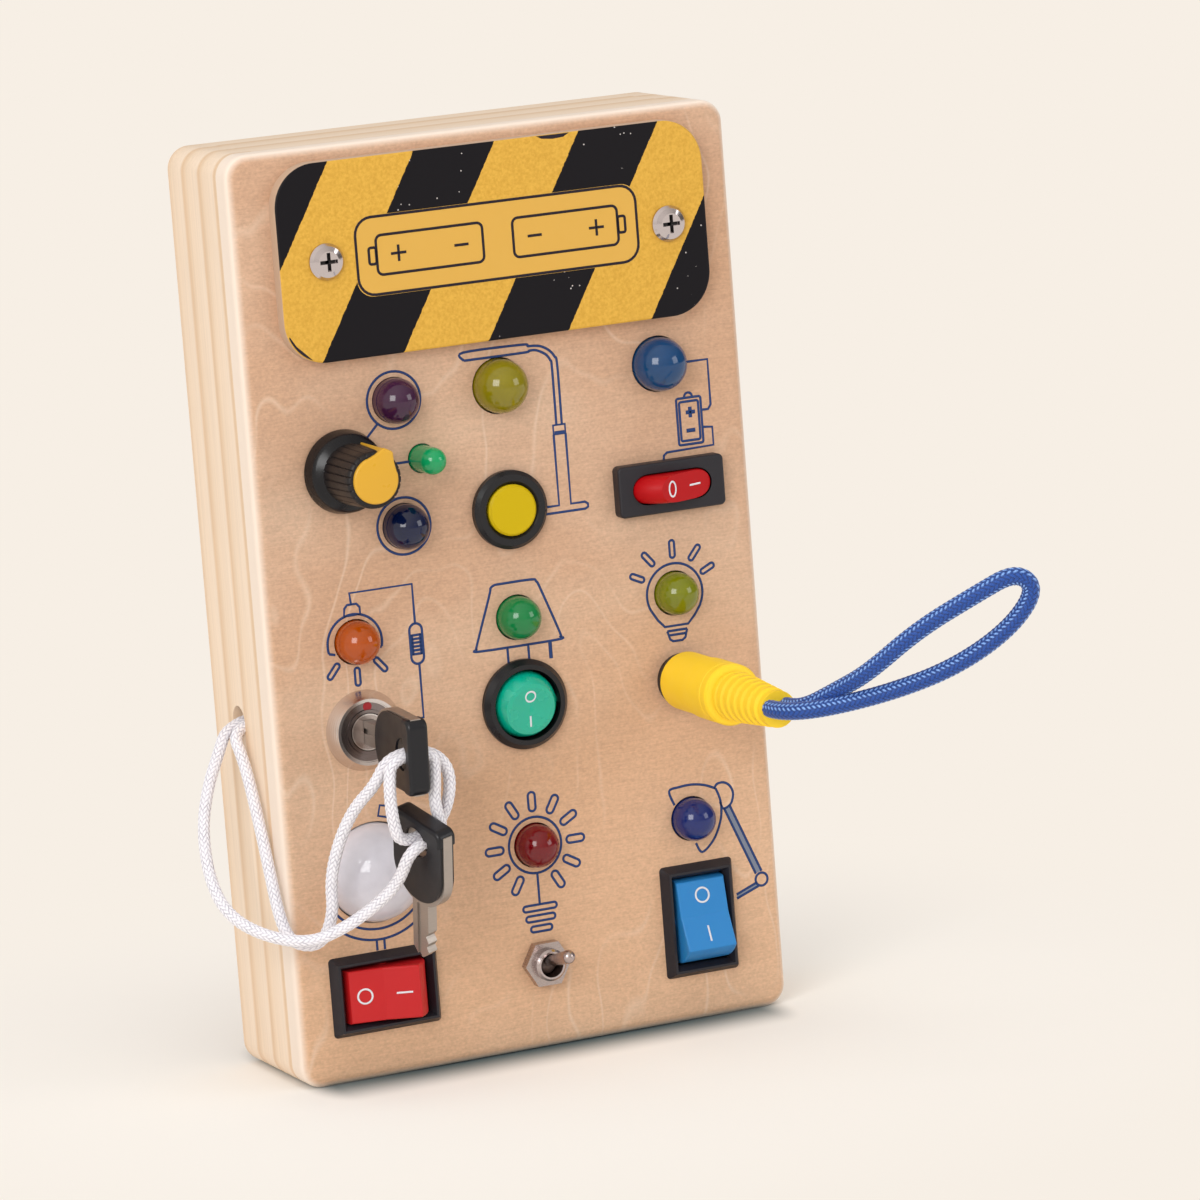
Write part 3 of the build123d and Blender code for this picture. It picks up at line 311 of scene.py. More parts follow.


# the first colour of each cord is painted shade for the hollows between the plaits
whiteBraid = cordMaterial("whitePolyesterBraid", "#A29BA8", "#F3F0F4", "#F3F0F4")
blueBraid = cordMaterial("bluePolyesterBraid", "#0B1B44", "#174A9E", "#86B0EC")

bm, whitePath, whiteLength = braidedCord(whiteCord)
whitePiece = toObject("whiteCord", bm, whiteBraid, "board", smoothAngle=80, replaces=("white_cord",))
whitePiece.parent = None
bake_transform(whitePiece)
[list(p) for p in whitePath]
bm, bluePath, blueLength = braidedCord(blueCord)
bluePiece = toObject("blueCord", bm, blueBraid, "plug", smoothAngle=80, replaces=("blue_cord",))
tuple(bluePath[0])
[list(p) for p in bluePath]
print("cords:", round(whiteLength * 1000), "and", round(blueLength * 1000), "mm")

# wood

# sizes are the steps of a pattern along, into and up the sheet, millimetres
plywood = {
    "face": "#C8A184", "light": "#CFAD92", "dark": "#C59C7D", "low": "#DDB48F", "line": "#E6CDB5",
    # edge is the paler tone round the board's rounded edges: partly the plies end on, partly a painted
    # highlight
    "edge": "#F1DFCE",
    "cloud": (60.0, 60.0, 34.0),
    "fibre": (3.2, 30.0, 0.22), "fibreLean": 3,
    "speckle": (0.55, 30.0, 0.42), "speckleShare": 0.55,
    "footStart": 90.0, "footEnd": 15.0, "footShare": 0.55,
    "lines": (34.0, 34.0, 62.0), "lineLean": 24, "lineBands": 15.0, "lineWidth": 0.09, "lineShare": 0.42,
}
pine = {"rings": (140.0, 3.4), "fibre": (18.0, 0.35),       # length and width of one step
        "tones": [(0.0, "#F4DDC5"), (0.6, "#F0D6BA"), (0.88, "#E3C19D"), (1.0, "#F2DAC0")]}


def edgeShare(tree, inner, outer):
    # 0 on a sheet's faces and 1 round its edge, by how far the surface turns away from them
    normal = addNode(tree, "SeparateXYZ", {0: addNode(tree, "TexCoord").outputs["Normal"]})
    facing = addNode(tree, "Math", {0: normal.outputs["Y"]}, operation="ABSOLUTE")
    return addNode(tree, "MapRange", {"Value": facing, 1: inner, 2: outer})


def plywoodMaterial():
    # sanded birch veneer: short fine fibres along the face, thin pale growth lines that wander, no varnish
    material, tree, shader = newMaterial("sandedBirchPlywood", Roughness=0.6, Specular_IOR_Level=0.25)
    lean = (0, math.radians(plywood["fibreLean"]), 0)
    fibre = addNode(tree, "TexNoise", {
        "Vector": objectPoint(tree, plywood["fibre"], lean), "Scale": 1.0, "Detail": 4.0, "Roughness": 0.6})
    cloud = addNode(tree, "TexNoise", {
        "Vector": objectPoint(tree, plywood["cloud"]), "Scale": 1.0, "Detail": 3.0})
    tone = addNode(tree, "ValToRGB", {"Fac": cloud},
                   stops=[(0.34, plywood["dark"]), (0.5, plywood["face"]), (0.66, plywood["light"])])
    speckle = addNode(tree, "TexNoise", {
        "Vector": objectPoint(tree, plywood["speckle"]), "Scale": 1.0, "Detail": 2.0})
    mixed = addNode(tree, "Mix", {0: plywood["speckleShare"], 2: fibre, 3: speckle})
    grain = addNode(tree, "MapRange", {"Value": mixed, 1: 0.3, 2: 0.7, 3: 0.84, 4: 1.15})
    # the sheet is a little yellower towards the foot
    spot = addNode(tree, "SeparateXYZ", {0: addNode(tree, "TexCoord").outputs["Object"]})
    foot = addNode(tree, "MapRange", {
        "Value": spot.outputs["Z"], 1: plywood["footStart"] * mm, 2: plywood["footEnd"] * mm,
        4: plywood["footShare"]})
    warmed = addNode(tree, "Mix", {"Factor": foot, 6: tone, 7: linear(plywood["low"])}, data_type="RGBA")
    fibred = addNode(tree, "VectorMath", {0: warmed.outputs[2], 1: grain}, operation="MULTIPLY")
    # growth lines are level lines of a slow noise, drawn out along the sheet and clearer in some places
    lean = (0, math.radians(plywood["lineLean"]), 0)
    rings = addNode(tree, "TexNoise", {
        "Vector": objectPoint(tree, plywood["lines"], lean), "Scale": 1.0, "Detail": 2.5, "Roughness": 0.42})
    level = addNode(tree, "Math", {0: rings, 1: plywood["lineBands"]}, operation="MULTIPLY")
    offLine = addNode(tree, "Math", {0: level, 1: 0.5}, operation="PINGPONG")
    clearer = addNode(tree, "TexNoise", {"Vector": objectPoint(tree, (24.0,) * 3), "Scale": 1.0})
    depth = addNode(tree, "MapRange", {"Value": clearer, 1: 0.45, 2: 0.66, 4: plywood["lineShare"]})
    drawn = addNode(tree, "MapRange", {"Value": offLine, 2: plywood["lineWidth"], 3: depth, 4: 0.0})
    lined = addNode(tree, "Mix", {"Factor": drawn, 6: fibred, 7: linear(plywood["line"])}, data_type="RGBA")
    # the edge of the board is paler: partly the plies showing end on, partly a painted highlight where the
    # rounded edge catches the light
    full = addNode(tree, "Mix", {
        "Factor": edgeShare(tree, 0.95, 0.5), 6: lined.outputs[2], 7: linear(plywood["edge"])},
        data_type="RGBA")
    tree.links.new(full.outputs[2], shader.inputs["Base Color"])
    addNode(tree, "Bump", {"Height": fibre, "Strength": 0.18, "Distance": 0.05 * mm},
            to=shader.inputs["Normal"])
    return material


def pineMaterial(name, alongX):
    # planed pine: broad pale early wood between narrow darker late wood lines
    material, tree, shader = newMaterial(name, Roughness=0.5, Specular_IOR_Level=0.4)

    def steps(length, width):
        return (length, width, width) if alongX else (width, width, length)
    warp = addNode(tree, "TexWave", {
        "Vector": objectPoint(tree, steps(*pine["rings"])), "Scale": 0.13, "Distortion": 2.6, "Detail": 2.0,
        "Detail Scale": 0.8}, wave_type="BANDS", bands_direction="Y", wave_profile="SAW")
    tone = addNode(tree, "ValToRGB", {"Fac": warp.outputs["Fac"]}, stops=pine["tones"])
    fibre = addNode(tree, "TexNoise", {
        "Vector": objectPoint(tree, steps(*pine["fibre"])), "Scale": 1.0, "Detail": 3.0})
    grain = addNode(tree, "MapRange", {"Value": fibre, 1: 0.3, 2: 0.7, 3: 0.94, 4: 1.03})
    addNode(tree, "VectorMath", {0: tone, 1: grain}, operation="MULTIPLY", to=shader.inputs["Base Color"])
    addNode(tree, "Bump", {"Height": fibre, "Strength": 0.15, "Distance": 0.05 * mm},
            to=shader.inputs["Normal"])
    return material


birch = plywoodMaterial()
uprightPine = pineMaterial("planedPineUpright", False)
crossPine = pineMaterial("planedPineAcross", True)
paint("front_panel", birch)
paint("back_panel", birch)
for name in ("left_rail", "right_rail"):
    paint(name, uprightPine)
for name in ("top_rail", "bottom_rail"):
    paint(name, crossPine)
print("wood done")

# plastics and metals


def moulded(name, colour, roughness=0.4, grain=0.12, relief=0.5, coat=0.0, **more):
    # injection moulded plastic: satin from a spark-eroded texture, grain millimetres apart, a little
    # duller in patches from handling
    material, tree, shader = newMaterial(name, Base_Color=linear(colour), Roughness=roughness,
                                         Coat_Weight=coat, Coat_Roughness=0.05, **more)
    texture = addNode(tree, "TexNoise", {
        "Vector": objectPoint(tree, (grain,) * 3), "Scale": 1.0, "Detail": 2.0})
    addNode(tree, "Bump", {"Height": texture, "Strength": relief, "Distance": 0.02 * mm},
            to=shader.inputs["Normal"])
    patch = addNode(tree, "TexNoise", {"Vector": objectPoint(tree, (3.0,) * 3), "Scale": 1.0})
    addNode(tree, "MapRange", {
        "Value": patch, 1: 0.3, 2: 0.7, 3: roughness - 0.05, 4: roughness + 0.07},
        to=shader.inputs["Roughness"])
    return material


def plated(name, colour, roughness, brushing=0.0):
    # nickel plating over a turned or stamped part: bright, with faint tool marks
    material, tree, shader = newMaterial(name, Base_Color=linear(colour), Metallic=1.0, Roughness=roughness)
    texture = addNode(tree, "TexNoise", {
        "Vector": objectPoint(tree, (1.6, 1.6, 0.08)), "Scale": 1.0, "Detail": 3.0})
    addNode(tree, "MapRange", {
        "Value": texture, 1: 0.3, 2: 0.7, 3: roughness * 0.75, 4: roughness * 1.3},
        to=shader.inputs["Roughness"])
    if brushing:
        addNode(tree, "Bump", {
            "Height": texture, "Strength": brushing, "Distance": 0.02 * mm},
            to=shader.inputs["Normal"])
    return material


blackNylon = moulded("blackNylonMoulded", "#1F1D24", 0.46, relief=0.8, Specular_IOR_Level=0.42)
blackGloss = moulded("blackAbsPolished", "#17171B", 0.3, relief=0.2, Specular_IOR_Level=0.4)
knobNylon = moulded("knobNylonSatin", "#1B1718", 0.4, Specular_IOR_Level=0.35)
skirtGloss = moulded("knobSkirtPolished", "#0D0D12", 0.24, relief=0.1, Specular_IOR_Level=0.35)
capAbs = moulded("yellowAbsGloss", "#D6A22C", 0.3, relief=0.15, Specular_IOR_Level=0.4)
keyPlastic = moulded("keyAbsBlack", "#16161B", 0.34, Specular_IOR_Level=0.38)
buttonAbs = moulded("buttonAbsYellow", "#C6A900", 0.36, relief=0.2, Specular_IOR_Level=0.2)
plugPvc = moulded("yellowPvcSoft", "#FFD42C", 0.5, grain=0.3, relief=0.4, Specular_IOR_Level=0.35)
redRocker = moulded("redPolycarbonate", "#C01A1E", 0.38, grain=0.25, relief=0.6, Subsurface_Weight=0.1,
                    Subsurface_Scale=0.001, Specular_IOR_Level=0.35)
ovalRed = moulded("redAbsMatt", "#B2040D", 0.42, grain=0.2, relief=0.6, Specular_IOR_Level=0.22)
blueRocker = moulded("bluePolycarbonate", "#2A80C2", 0.38, grain=0.25, relief=0.5, Subsurface_Weight=0.1,
                     Subsurface_Scale=0.001, Specular_IOR_Level=0.35)
greenRocker = moulded("greenPolycarbonateClear", "#00B494", 0.24, grain=0.4, relief=0.15, coat=0.15,
                      Transmission_Weight=0.08, IOR=1.58, Subsurface_Weight=0.3, Subsurface_Scale=0.002)
nickel = plated("nickelPlatedBrass", "#BDB1B0", 0.2)
nutNickel = plated("nickelPlatedNut", "#B4A8A5", 0.24, 0.3)
keySteel = plated("nickelSilverKey", "#B4ABA4", 0.44, 0.2)
steel = plated("zincPlatedSteel", "#B0B0B2", 0.32, 0.2)
brightSteel = plated("nickelPlatedScrew", "#CDC4C5", 0.12)
brass = plated("brassStamped", "#C9A95B", 0.35)
whiteInk = moulded("whitePadPrint", "#DCDCE2", 0.6, relief=0.1)
wireRed = moulded("wirePvcRed", "#A8281F", 0.45)
cellSleeve = moulded("cellSleevePrinted", "#2F6A55", 0.35, coat=0.4)


# rings are the radii where a new tone begins, and grooves the spacing of the turning marks, millimetres
lock = {"x": -32.0, "z": 65.1, "rim": 8.0, "rimHeight": 2.1, "grooves": 0.22,
        "dotAt": (0.15, 4.7), "dotRadius": 0.85,
        "rings": [(0.0, "#BDB3B0"), (3.15, "#E8E2E0"), (3.35, "#3C3634"), (3.55, "#8B8180"),
                  (5.4, "#DDD6D3")]}
lever = {"bushingTone": "#5E4E48", "plating": "#BAABA8", "bushingToneUpTo": 2.4, "platingFrom": 5.0}


def lockMaterial():
    # satin chromed die casting: a bright cone, a darker turned ring round the cylinder
    material, tree, shader = newMaterial("satinChromedZinc", Metallic=1.0, Roughness=0.23)
    point = addNode(tree, "TexCoord").outputs["Object"]
    away = addNode(tree, "VectorMath", {0: point, 1: place(lock["x"], lock["z"])}, operation="SUBTRACT")
    flat = addNode(tree, "VectorMath", {0: away, 1: (1.0, 0.0, 1.0)}, operation="MULTIPLY")
    radius = addNode(tree, "VectorMath", {0: flat}, operation="LENGTH").outputs["Value"]
    spread = addNode(tree, "Math", {0: radius, 1: lock["rim"] * mm}, operation="DIVIDE")
    rings = addNode(tree, "ValToRGB", {"Fac": spread}, to=shader.inputs["Base Color"],
                    stops=[(reach / lock["rim"], colour) for reach, colour in lock["rings"]])
    rings.color_ramp.interpolation = "CONSTANT"
    turning = addNode(tree, "Math", {0: radius, 1: 2 * math.pi / (lock["grooves"] * mm)},
                      operation="MULTIPLY")
    wave = addNode(tree, "Math", {0: turning}, operation="SINE")
    addNode(tree, "Bump", {"Height": wave, "Strength": 0.12, "Distance": 0.02 * mm},
            to=shader.inputs["Normal"])
    return material


def leverMaterial():
    # nickel plated lever: bright outside, darker, browner and less metallic low down where it sits in the
    # bushing
    material, tree, shader = newMaterial("nickelPlatedLever", Roughness=0.27)
    depth = addNode(tree, "SeparateXYZ", {0: addNode(tree, "TexCoord").outputs["Object"]})
    outside = addNode(tree, "MapRange", {
        "Value": depth.outputs["Y"], 1: (frontY - lever["bushingToneUpTo"]) * mm,
        2: (frontY - lever["platingFrom"]) * mm})
    addNode(tree, "ValToRGB", {"Fac": outside}, to=shader.inputs["Base Color"],
            stops=[(0.0, lever["bushingTone"]), (1.0, lever["plating"])])
    addNode(tree, "MapRange", {"Value": outside, 3: 0.25, 4: 1.0}, to=shader.inputs["Metallic"])
    return material


chromeLock = lockMaterial()
leverNickel = leverMaterial()

finishes = {
    blackNylon: ["oval_switch_housing", "red_switch_housing", "blue_switch_housing", "battery_box"],
    blackGloss: ["button_housing", "round_switch_housing", "jack_socket"],
    keyPlastic: ["key_one_head", "spare_key_head"],
    buttonAbs: ["button_cap"],
    plugPvc: ["plug_body"],
    redRocker: ["red_rocker", "toggle_body"],
    ovalRed: ["oval_rocker"],
    blueRocker: ["blue_rocker"],
    greenRocker: ["round_rocker"],
    leverNickel: ["toggle_lever"],
    nutNickel: ["toggle_nut"],
    nickel: ["toggle_bushing", "plug_pin", "potentiometer_nut", "panel_nuts", "battery_contacts",
             "lamp_leads"],
    chromeLock: ["lock_barrel", "lock_cylinder"],
    keySteel: ["key_one_blade", "spare_key_blade"],
    steel: ["potentiometer_body", "potentiometer_shaft", "back_screws", "button_spring"],
    brightSteel: ["plate_screws"],
    brass: ["switch_terminals"],
    wireRed: ["wiring"],
    cellSleeve: ["batteries"],
}
for material, names in finishes.items():
    for name in names:
        paint(name, material)

# knob

# outlines are (radius, height above the board) points, millimetres; angles are degrees
knob = {"x": -32.1, "z": 113.0, "flutes": 24, "fluteDepth": 0.2, "fluteWidth": 4.0, "pointer": 62.0,
        "skirt": [(6.2, 0.45), (7.35, 0.45), (7.73, 0.8), (7.27, 3.3), (7.05, 3.75), (6.6, 4.1), (5.4, 4.8),
                  (3.2, 4.8), (3.2, 4.2), (6.2, 4.2), (6.2, 0.45)],
        "grip": [(5.5, 4.6), (5.58, 5.1), (5.24, 14.8), (5.14, 15.3), (4.92, 15.58), (4.6, 15.69)],
        "flank": [(2.95, 3.05), (3.6, 2.5), (4.25, 1.98), (4.85, 1.58), (5.4, 1.28), (5.8, 1.05),
                  (5.95, 0.7)],
        "capRadius": 4.3, "capFoot": 15.6, "capThickness": 0.79, "capBevel": 0.38,
        # height, reach and half width: outside foot and top, then inside foot and top
        "stripe": [(4.4, 5.95, 0.5), (15.7, 5.8, 1.15), (4.4, 4.6, 0.5), (15.7, 4.6, 1.4)]}


def knobGrip():
    # a slim tapering grip with shallow flutes and a rounded top rim
    bm = bmesh.new()
    rings = []
    pitch = 360 / knob["flutes"]
    for radius, height in knob["grip"]:
        ring = []
        for degree in range(360):
            off = abs((degree - knob["pointer"] + pitch / 2) % pitch - pitch / 2) / (knob["fluteWidth"] / 2)
            groove = math.cos(off * math.pi / 2) ** 2 if off < 1 else 0.0
            reach = radius - knob["fluteDepth"] * groove
            angle = math.radians(degree)
            spot = place(knob["x"] + reach * math.cos(angle), knob["z"] + reach * math.sin(angle), height)
            ring.append(bm.verts.new(spot))
        rings.append(ring)
    closeTube(bm, rings)
    toObject("knobGrip", bm, knobNylon, "knob", smoothAngle=40)


def knobCap():
    # a drop shaped cap whose point runs down the grip as a stripe
    c, s = math.cos(math.radians(knob["pointer"])), math.sin(math.radians(knob["pointer"]))

    def at(along, across, height):
        return place(knob["x"] + along * c - across * s, knob["z"] + along * s + across * c, height)
    flank = knob["flank"]
    outline = flank[::-1] + arc(0, 0, knob["capRadius"], 50, 310, 64) + [(a, -b) for a, b in flank]
    bm = bmesh.new()
    base = bm.faces.new([bm.verts.new(at(a, b, knob["capFoot"])) for a, b in outline])
    grown = bmesh.ops.extrude_face_region(bm, geom=[base])["geom"]
    top = [f for f in grown if isinstance(f, bmesh.types.BMFace)][0]
    bmesh.ops.translate(bm, verts=top.verts, vec=(0, -knob["capThickness"] * mm, 0))
    bmesh.ops.bevel(bm, geom=list(top.edges), offset=knob["capBevel"] * mm, offset_type="OFFSET",
                    affect="EDGES", segments=4, profile=0.5, material=-1, clamp_overlap=True)
    # the stripe widens towards the cap
    corners = [bm.verts.new(at(reach, side * half, height))
               for height, reach, half in knob["stripe"] for side in (-1, 1)]
    for loop in ((0, 1, 3, 2), (4, 5, 7, 6), (0, 2, 6, 4), (1, 3, 7, 5), (0, 1, 5, 4), (2, 3, 7, 6)):
        bm.faces.new([corners[i] for i in loop])
    toObject("knobCap", bm, capAbs, "knob", smoothAngle=40, replaces=("knob_cap",))


turnedPiece("knobSkirt", knob["skirt"], knob["x"], knob["z"], skirtGloss, "knob", replaces=("knob_body",))
knobGrip()
knobCap()
print("knob done")

# lamps: colour, x, z, diameter, height of the dome's centre, height of the flange

lampDomes = {
    "purple": ("#3C1838", -20.9, 124.6, 8.3, 1.6, -4.2),
    "navy": ("#041238", -20.9, 101.4, 8.3, 1.6, -4.2),
    "small_green": ("#0C9A5C", -16.3, 113.3, 5.0, 5.1, -1.1),
    "yellow": ("#84780A", 0.0, 124.6, 10.0, 1.2, -5.5),
    "blue": ("#083E6C", 32.2, 124.6, 10.0, 1.2, -5.5),
    "orange": ("#AC4800", -32.2, 81.5, 8.0, 1.3, -4.2),
    "green": ("#0A7A3E", 0.0, 81.5, 8.0, 1.3, -4.2),
    "olive": ("#757A08", 32.2, 81.5, 8.0, 1.3, -4.2),
    "white_dome": ("#D6D3DB", -32.2, 38.6, 18.4, -0.6, -5.5),
    "red": ("#70020D", 0.0, 38.6, 8.0, 1.3, -4.2),
    "violet": ("#122468", 32.2, 38.6, 8.0, 1.3, -4.2),
}
flangeWidth, flangeThickness = 0.5, 1.5   # the foot of a lens, behind the panel


def lensMaterial(name, colour):
    # tinted epoxy: glossy, coloured all through, a little light gets in
    material, tree, shader = newMaterial(name, Roughness=0.1, IOR=1.5, Transmission_Weight=0.04,
                                         Coat_Weight=0.15, Coat_Roughness=0.04)
    haze = addNode(tree, "TexNoise", {"Vector": objectPoint(tree, (2.2,) * 3), "Scale": 1.0})
    cloudy = addNode(tree, "MapRange", {"Value": haze, 1: 0.3, 2: 0.7, 3: 0.96, 4: 1.03})
    addNode(tree, "VectorMath", {0: linear(colour)[:3], 1: cloudy},
            operation="MULTIPLY", to=shader.inputs["Base Color"])
    return material


for name, (colour, x, z, diameter, centre, lip) in lampDomes.items():
    radius = diameter / 2
    outline = [(radius * math.sin(math.radians(a)), centre + radius * math.cos(math.radians(a)))
               for a in range(0, 91, 5)]
    outline += [(radius, lip), (radius + flangeWidth, lip), (radius + flangeWidth, lip - flangeThickness),
                (0, lip - flangeThickness)]
    turnedPiece("lens_" + name, outline, x, z, lensMaterial("tintedEpoxy_" + name, colour), "board", steps=72,
                replaces=("lamp_" + name,))
print("plastics, metals and lamps done")

# striped cover

cover = {"yellowDark": "#CB9A38", "yellowLight": "#DCAB46", "black": "#0C0910", "pinhole": "#CFC8C4",
         "edge": "#C2A68E", "period": 32.8, "blackShare": 0.488, "start": -24.6, "lean": 0.58,
         "middle": 151.5, "ragged": 0.012, "pinholeSize": 0.09, "thickness": 3.0}


def coverMaterial():
    # screen printed stripes on a sealed sheet: satin, with pinholes where the black missed
    material, tree, shader = newMaterial("printedCoverSheet", Roughness=0.5, Specular_IOR_Level=0.2)
    point = addNode(tree, "SeparateXYZ", {0: addNode(tree, "TexCoord").outputs["Object"]})
    rise = addNode(tree, "Math", {
        0: point.outputs["Z"], 1: -cover["lean"] * 1000 / cover["period"],
        2: (cover["middle"] * cover["lean"] - cover["start"]) / cover["period"]}, operation="MULTIPLY_ADD")
    wobble = addNode(tree, "TexNoise", {"Vector": objectPoint(tree, (0.7,) * 3), "Scale": 1.0})
    ragged = addNode(tree, "Math", {0: wobble, 1: cover["ragged"], 2: rise}, operation="MULTIPLY_ADD")
    step = addNode(tree, "Math", {
        0: point.outputs["X"], 1: 1000 / cover["period"], 2: ragged}, operation="MULTIPLY_ADD")
    share = addNode(tree, "Math", {0: step}, operation="FRACT")
    black = addNode(tree, "Math", {0: share, 1: cover["blackShare"]}, operation="LESS_THAN")
    dots = addNode(tree, "TexVoronoi", {"Vector": objectPoint(tree, (1.5,) * 3), "Scale": 1.0})
    dust = addNode(tree, "Math", {0: dots.outputs["Distance"], 1: cover["pinholeSize"]},
                   operation="LESS_THAN")
    where = addNode(tree, "TexNoise", {"Vector": objectPoint(tree, (9.0,) * 3), "Scale": 1.0})
    some = addNode(tree, "Math", {0: where, 1: 0.53}, operation="GREATER_THAN")
    pinholes = addNode(tree, "Math", {0: dust, 1: some}, operation="MULTIPLY")
    inked = addNode(tree, "Mix", {
        "Factor": pinholes, 6: linear(cover["black"]), 7: linear(cover["pinhole"])},
        data_type="RGBA")
    grit = addNode(tree, "TexNoise", {"Vector": objectPoint(tree, (0.5,) * 3), "Scale": 1.0, "Detail": 3.0})
    yellow = addNode(tree, "ValToRGB", {"Fac": grit},
                     stops=[(0.3, cover["yellowDark"]), (0.7, cover["yellowLight"])])
    sheet = addNode(tree, "Mix", {"Factor": black, 6: yellow, 7: inked.outputs[2]}, data_type="RGBA")
    full = addNode(tree, "Mix", {
        "Factor": edgeShare(tree, 0.6, 0.4), 6: sheet.outputs[2], 7: linear(cover["edge"])},
        data_type="RGBA")
    tree.links.new(full.outputs[2], shader.inputs["Base Color"])
    addNode(tree, "Bump", {"Height": grit, "Strength": 0.3, "Distance": 0.03 * mm},
            to=shader.inputs["Normal"])
    return material


paint("hazard_plate", coverMaterial())
print("cover done")

# printed pictures, thin lines just proud of the panel

# screen ink: thin and matt; the pad print on the rockers is the same
navyInk = moulded("navyScreenInk", "#2B4070", 0.7, relief=0.2, Specular_IOR_Level=0.2)
blackInk = moulded("blackScreenInk", "#211B27", 0.6, relief=0.2, Specular_IOR_Level=0.25)
labelYellow = moulded("yellowScreenInk", "#D5A443", 0.55, grain=0.4, relief=0.4)
printedLines = {
    "knobWireUp": [(-24.5, 120.6), (-29.4, 115.7)],
    "knobWireAcross": [(-22.9, 113.0), (-18.8, 113.0)],
    "knobWireDown": [(-29.4, 110.2), (-24.7, 105.7)],
    "streetOuter": [(-6.5, 130.0), (-6.5, 131.5), (5.2, 131.5), (6.4, 131.1), (7.7, 131.0), (9.1, 130.7),
                    (10.6, 129.8), (11.6, 128.5), (12.0, 126.9), (12.0, 115.9)],
    "streetInner": [(-6.5, 130.0), (5.4, 130.0), (6.5, 130.2), (7.7, 130.2), (8.8, 129.8), (10.0, 129.0),
                    (10.7, 127.9), (10.9, 126.6), (10.9, 115.9)],
    "streetCollar": [(10.2, 115.9), (12.6, 115.9), (12.6, 114.2), (10.2, 114.2), (10.2, 115.9)],
    "streetPoleLeft": [(10.2, 114.2), (10.2, 101.0), (7.3, 101.0)],
    "streetPoleRight": [(12.6, 114.2), (12.6, 101.0), (15.4, 101.0), (16.0, 100.6), (16.0, 100.0),
                        (15.4, 99.7), (7.3, 99.7)],
    "circuitOut": [(37.9, 124.2), (42.4, 124.2), (42.4, 115.7), (41.8, 114.9), (40.5, 114.9)],
    "circuitBack": [(40.5, 111.7), (42.4, 111.5), (42.4, 108.1), (32.8, 107.9), (32.1, 107.4), (32.0, 106.4)],
    "pendantWire": [(-32.5, 88.3), (-32.7, 90.6), (-20.3, 90.6), (-20.3, 83.2)],
    "pendantWireLow": [(-20.1, 75.7), (-20.1, 65.7), (-22.2, 65.7)],
    "pendantCap": [(-34.1, 86.4), (-33.9, 87.9), (-33.3, 88.5), (-31.5, 88.5), (-30.9, 87.8), (-30.9, 86.5),
                   (-34.1, 86.4)],
    "tableShade": [(-3.9, 88.1), (3.3, 88.1), (4.4, 87.6), (5.1, 86.2), (8.3, 77.6), (8.3, 76.7), (7.7, 76.2),
                   (-7.8, 76.2), (-8.5, 76.7), (-8.4, 77.5), (-5.2, 86.2), (-4.8, 87.6), (-3.9, 88.1)],
    "tableLegLeft": [(-2.4, 76.2), (-2.4, 73.2)],
    "tableLegRight": [(1.8, 76.2), (1.8, 73.2)],
    "bulbNeckLeft": [(27.2, 78.7), (28.4, 76.8), (29.7, 75.4), (34.5, 75.4), (35.9, 76.8), (37.3, 78.7)],
    "bulbTip": [(30.1, 74.5), (30.6, 72.9), (31.2, 72.5), (33.1, 72.5), (33.7, 72.9), (34.2, 74.5)],
    "bulbCollar": [(30.1, 74.5), (34.2, 74.5)],
    "bulbThread": [(30.4, 73.7), (33.9, 73.7)],
    "globePull": [(-28.2, 50.4), (-30.2, 50.8), (-30.7, 48.9), (-28.2, 48.2)],
    "globePostLeft": [(-33.0, 26.0), (-33.0, 24.0)],
    "globePostRight": [(-31.5, 26.0), (-31.5, 24.0)],
    "deskTop": [(28.9, 41.6), (28.0, 44.4), (30.1, 44.9), (32.7, 45.0), (35.3, 44.5), (37.6, 43.5)],
    "deskSide": [(37.6, 43.5), (38.4, 40.9), (38.2, 37.6), (36.5, 34.0), (33.9, 31.9), (32.7, 33.8)],
    "deskKnuckle": [(37.3, 43.5), (37.9, 44.3), (39.3, 44.4), (40.5, 43.6), (41.1, 42.1), (40.7, 40.5),
                    (39.9, 39.7), (38.8, 39.5), (38.3, 40.9)],
    "deskArmLeft": [(39.0, 39.5), (44.6, 26.0)],
    "deskArmRight": [(40.2, 39.9), (45.8, 26.4)],
    "deskLowTop": [(44.6, 24.3), (40.3, 22.7)],
    "deskLowBottom": [(45.0, 23.6), (40.3, 21.9)],
    "sunStem": [(0.0, 33.3), (0.0, 27.3)],
}
boldLines = {
    "batteryPlusAcross": [(37.2, 114.8), (39.1, 114.8)],
    "batteryPlusUp": [(38.1, 113.8), (38.1, 115.8)],
    "batteryMinus": [(37.1, 111.4), (38.9, 111.4)],
    "tablePull": [(6.2, 76.2), (6.2, 72.9)],
    "streetBand": [(10.4, 114.4), (12.4, 114.4)],
}


def capsule(x, z, width, length, turn):
    # a rounded bar outline; turn is from upright, counterclockwise, degrees
    reach, radius = (length - width) / 2, width / 2
    outline = arc(0, reach, radius, 0, 180, 10) + arc(0, -reach, radius, 180, 360, 10)
    c, s = math.cos(math.radians(turn)), math.sin(math.radians(turn))
    turned = [(x + a * c - b * s, z + a * s + b * c) for a, b in outline]
    return turned + turned[:1]


def roundedBox(x, z, width, height, radius):
    corners = [(width / 2 - radius, height / 2 - radius, 0), (radius - width / 2, height / 2 - radius, 90),
               (radius - width / 2, radius - height / 2, 180), (width / 2 - radius, radius - height / 2, 270)]
    outline = [point for a, b, start in corners for point in arc(x + a, z + b, radius, start, start + 90, 6)]
    return outline + outline[:1]


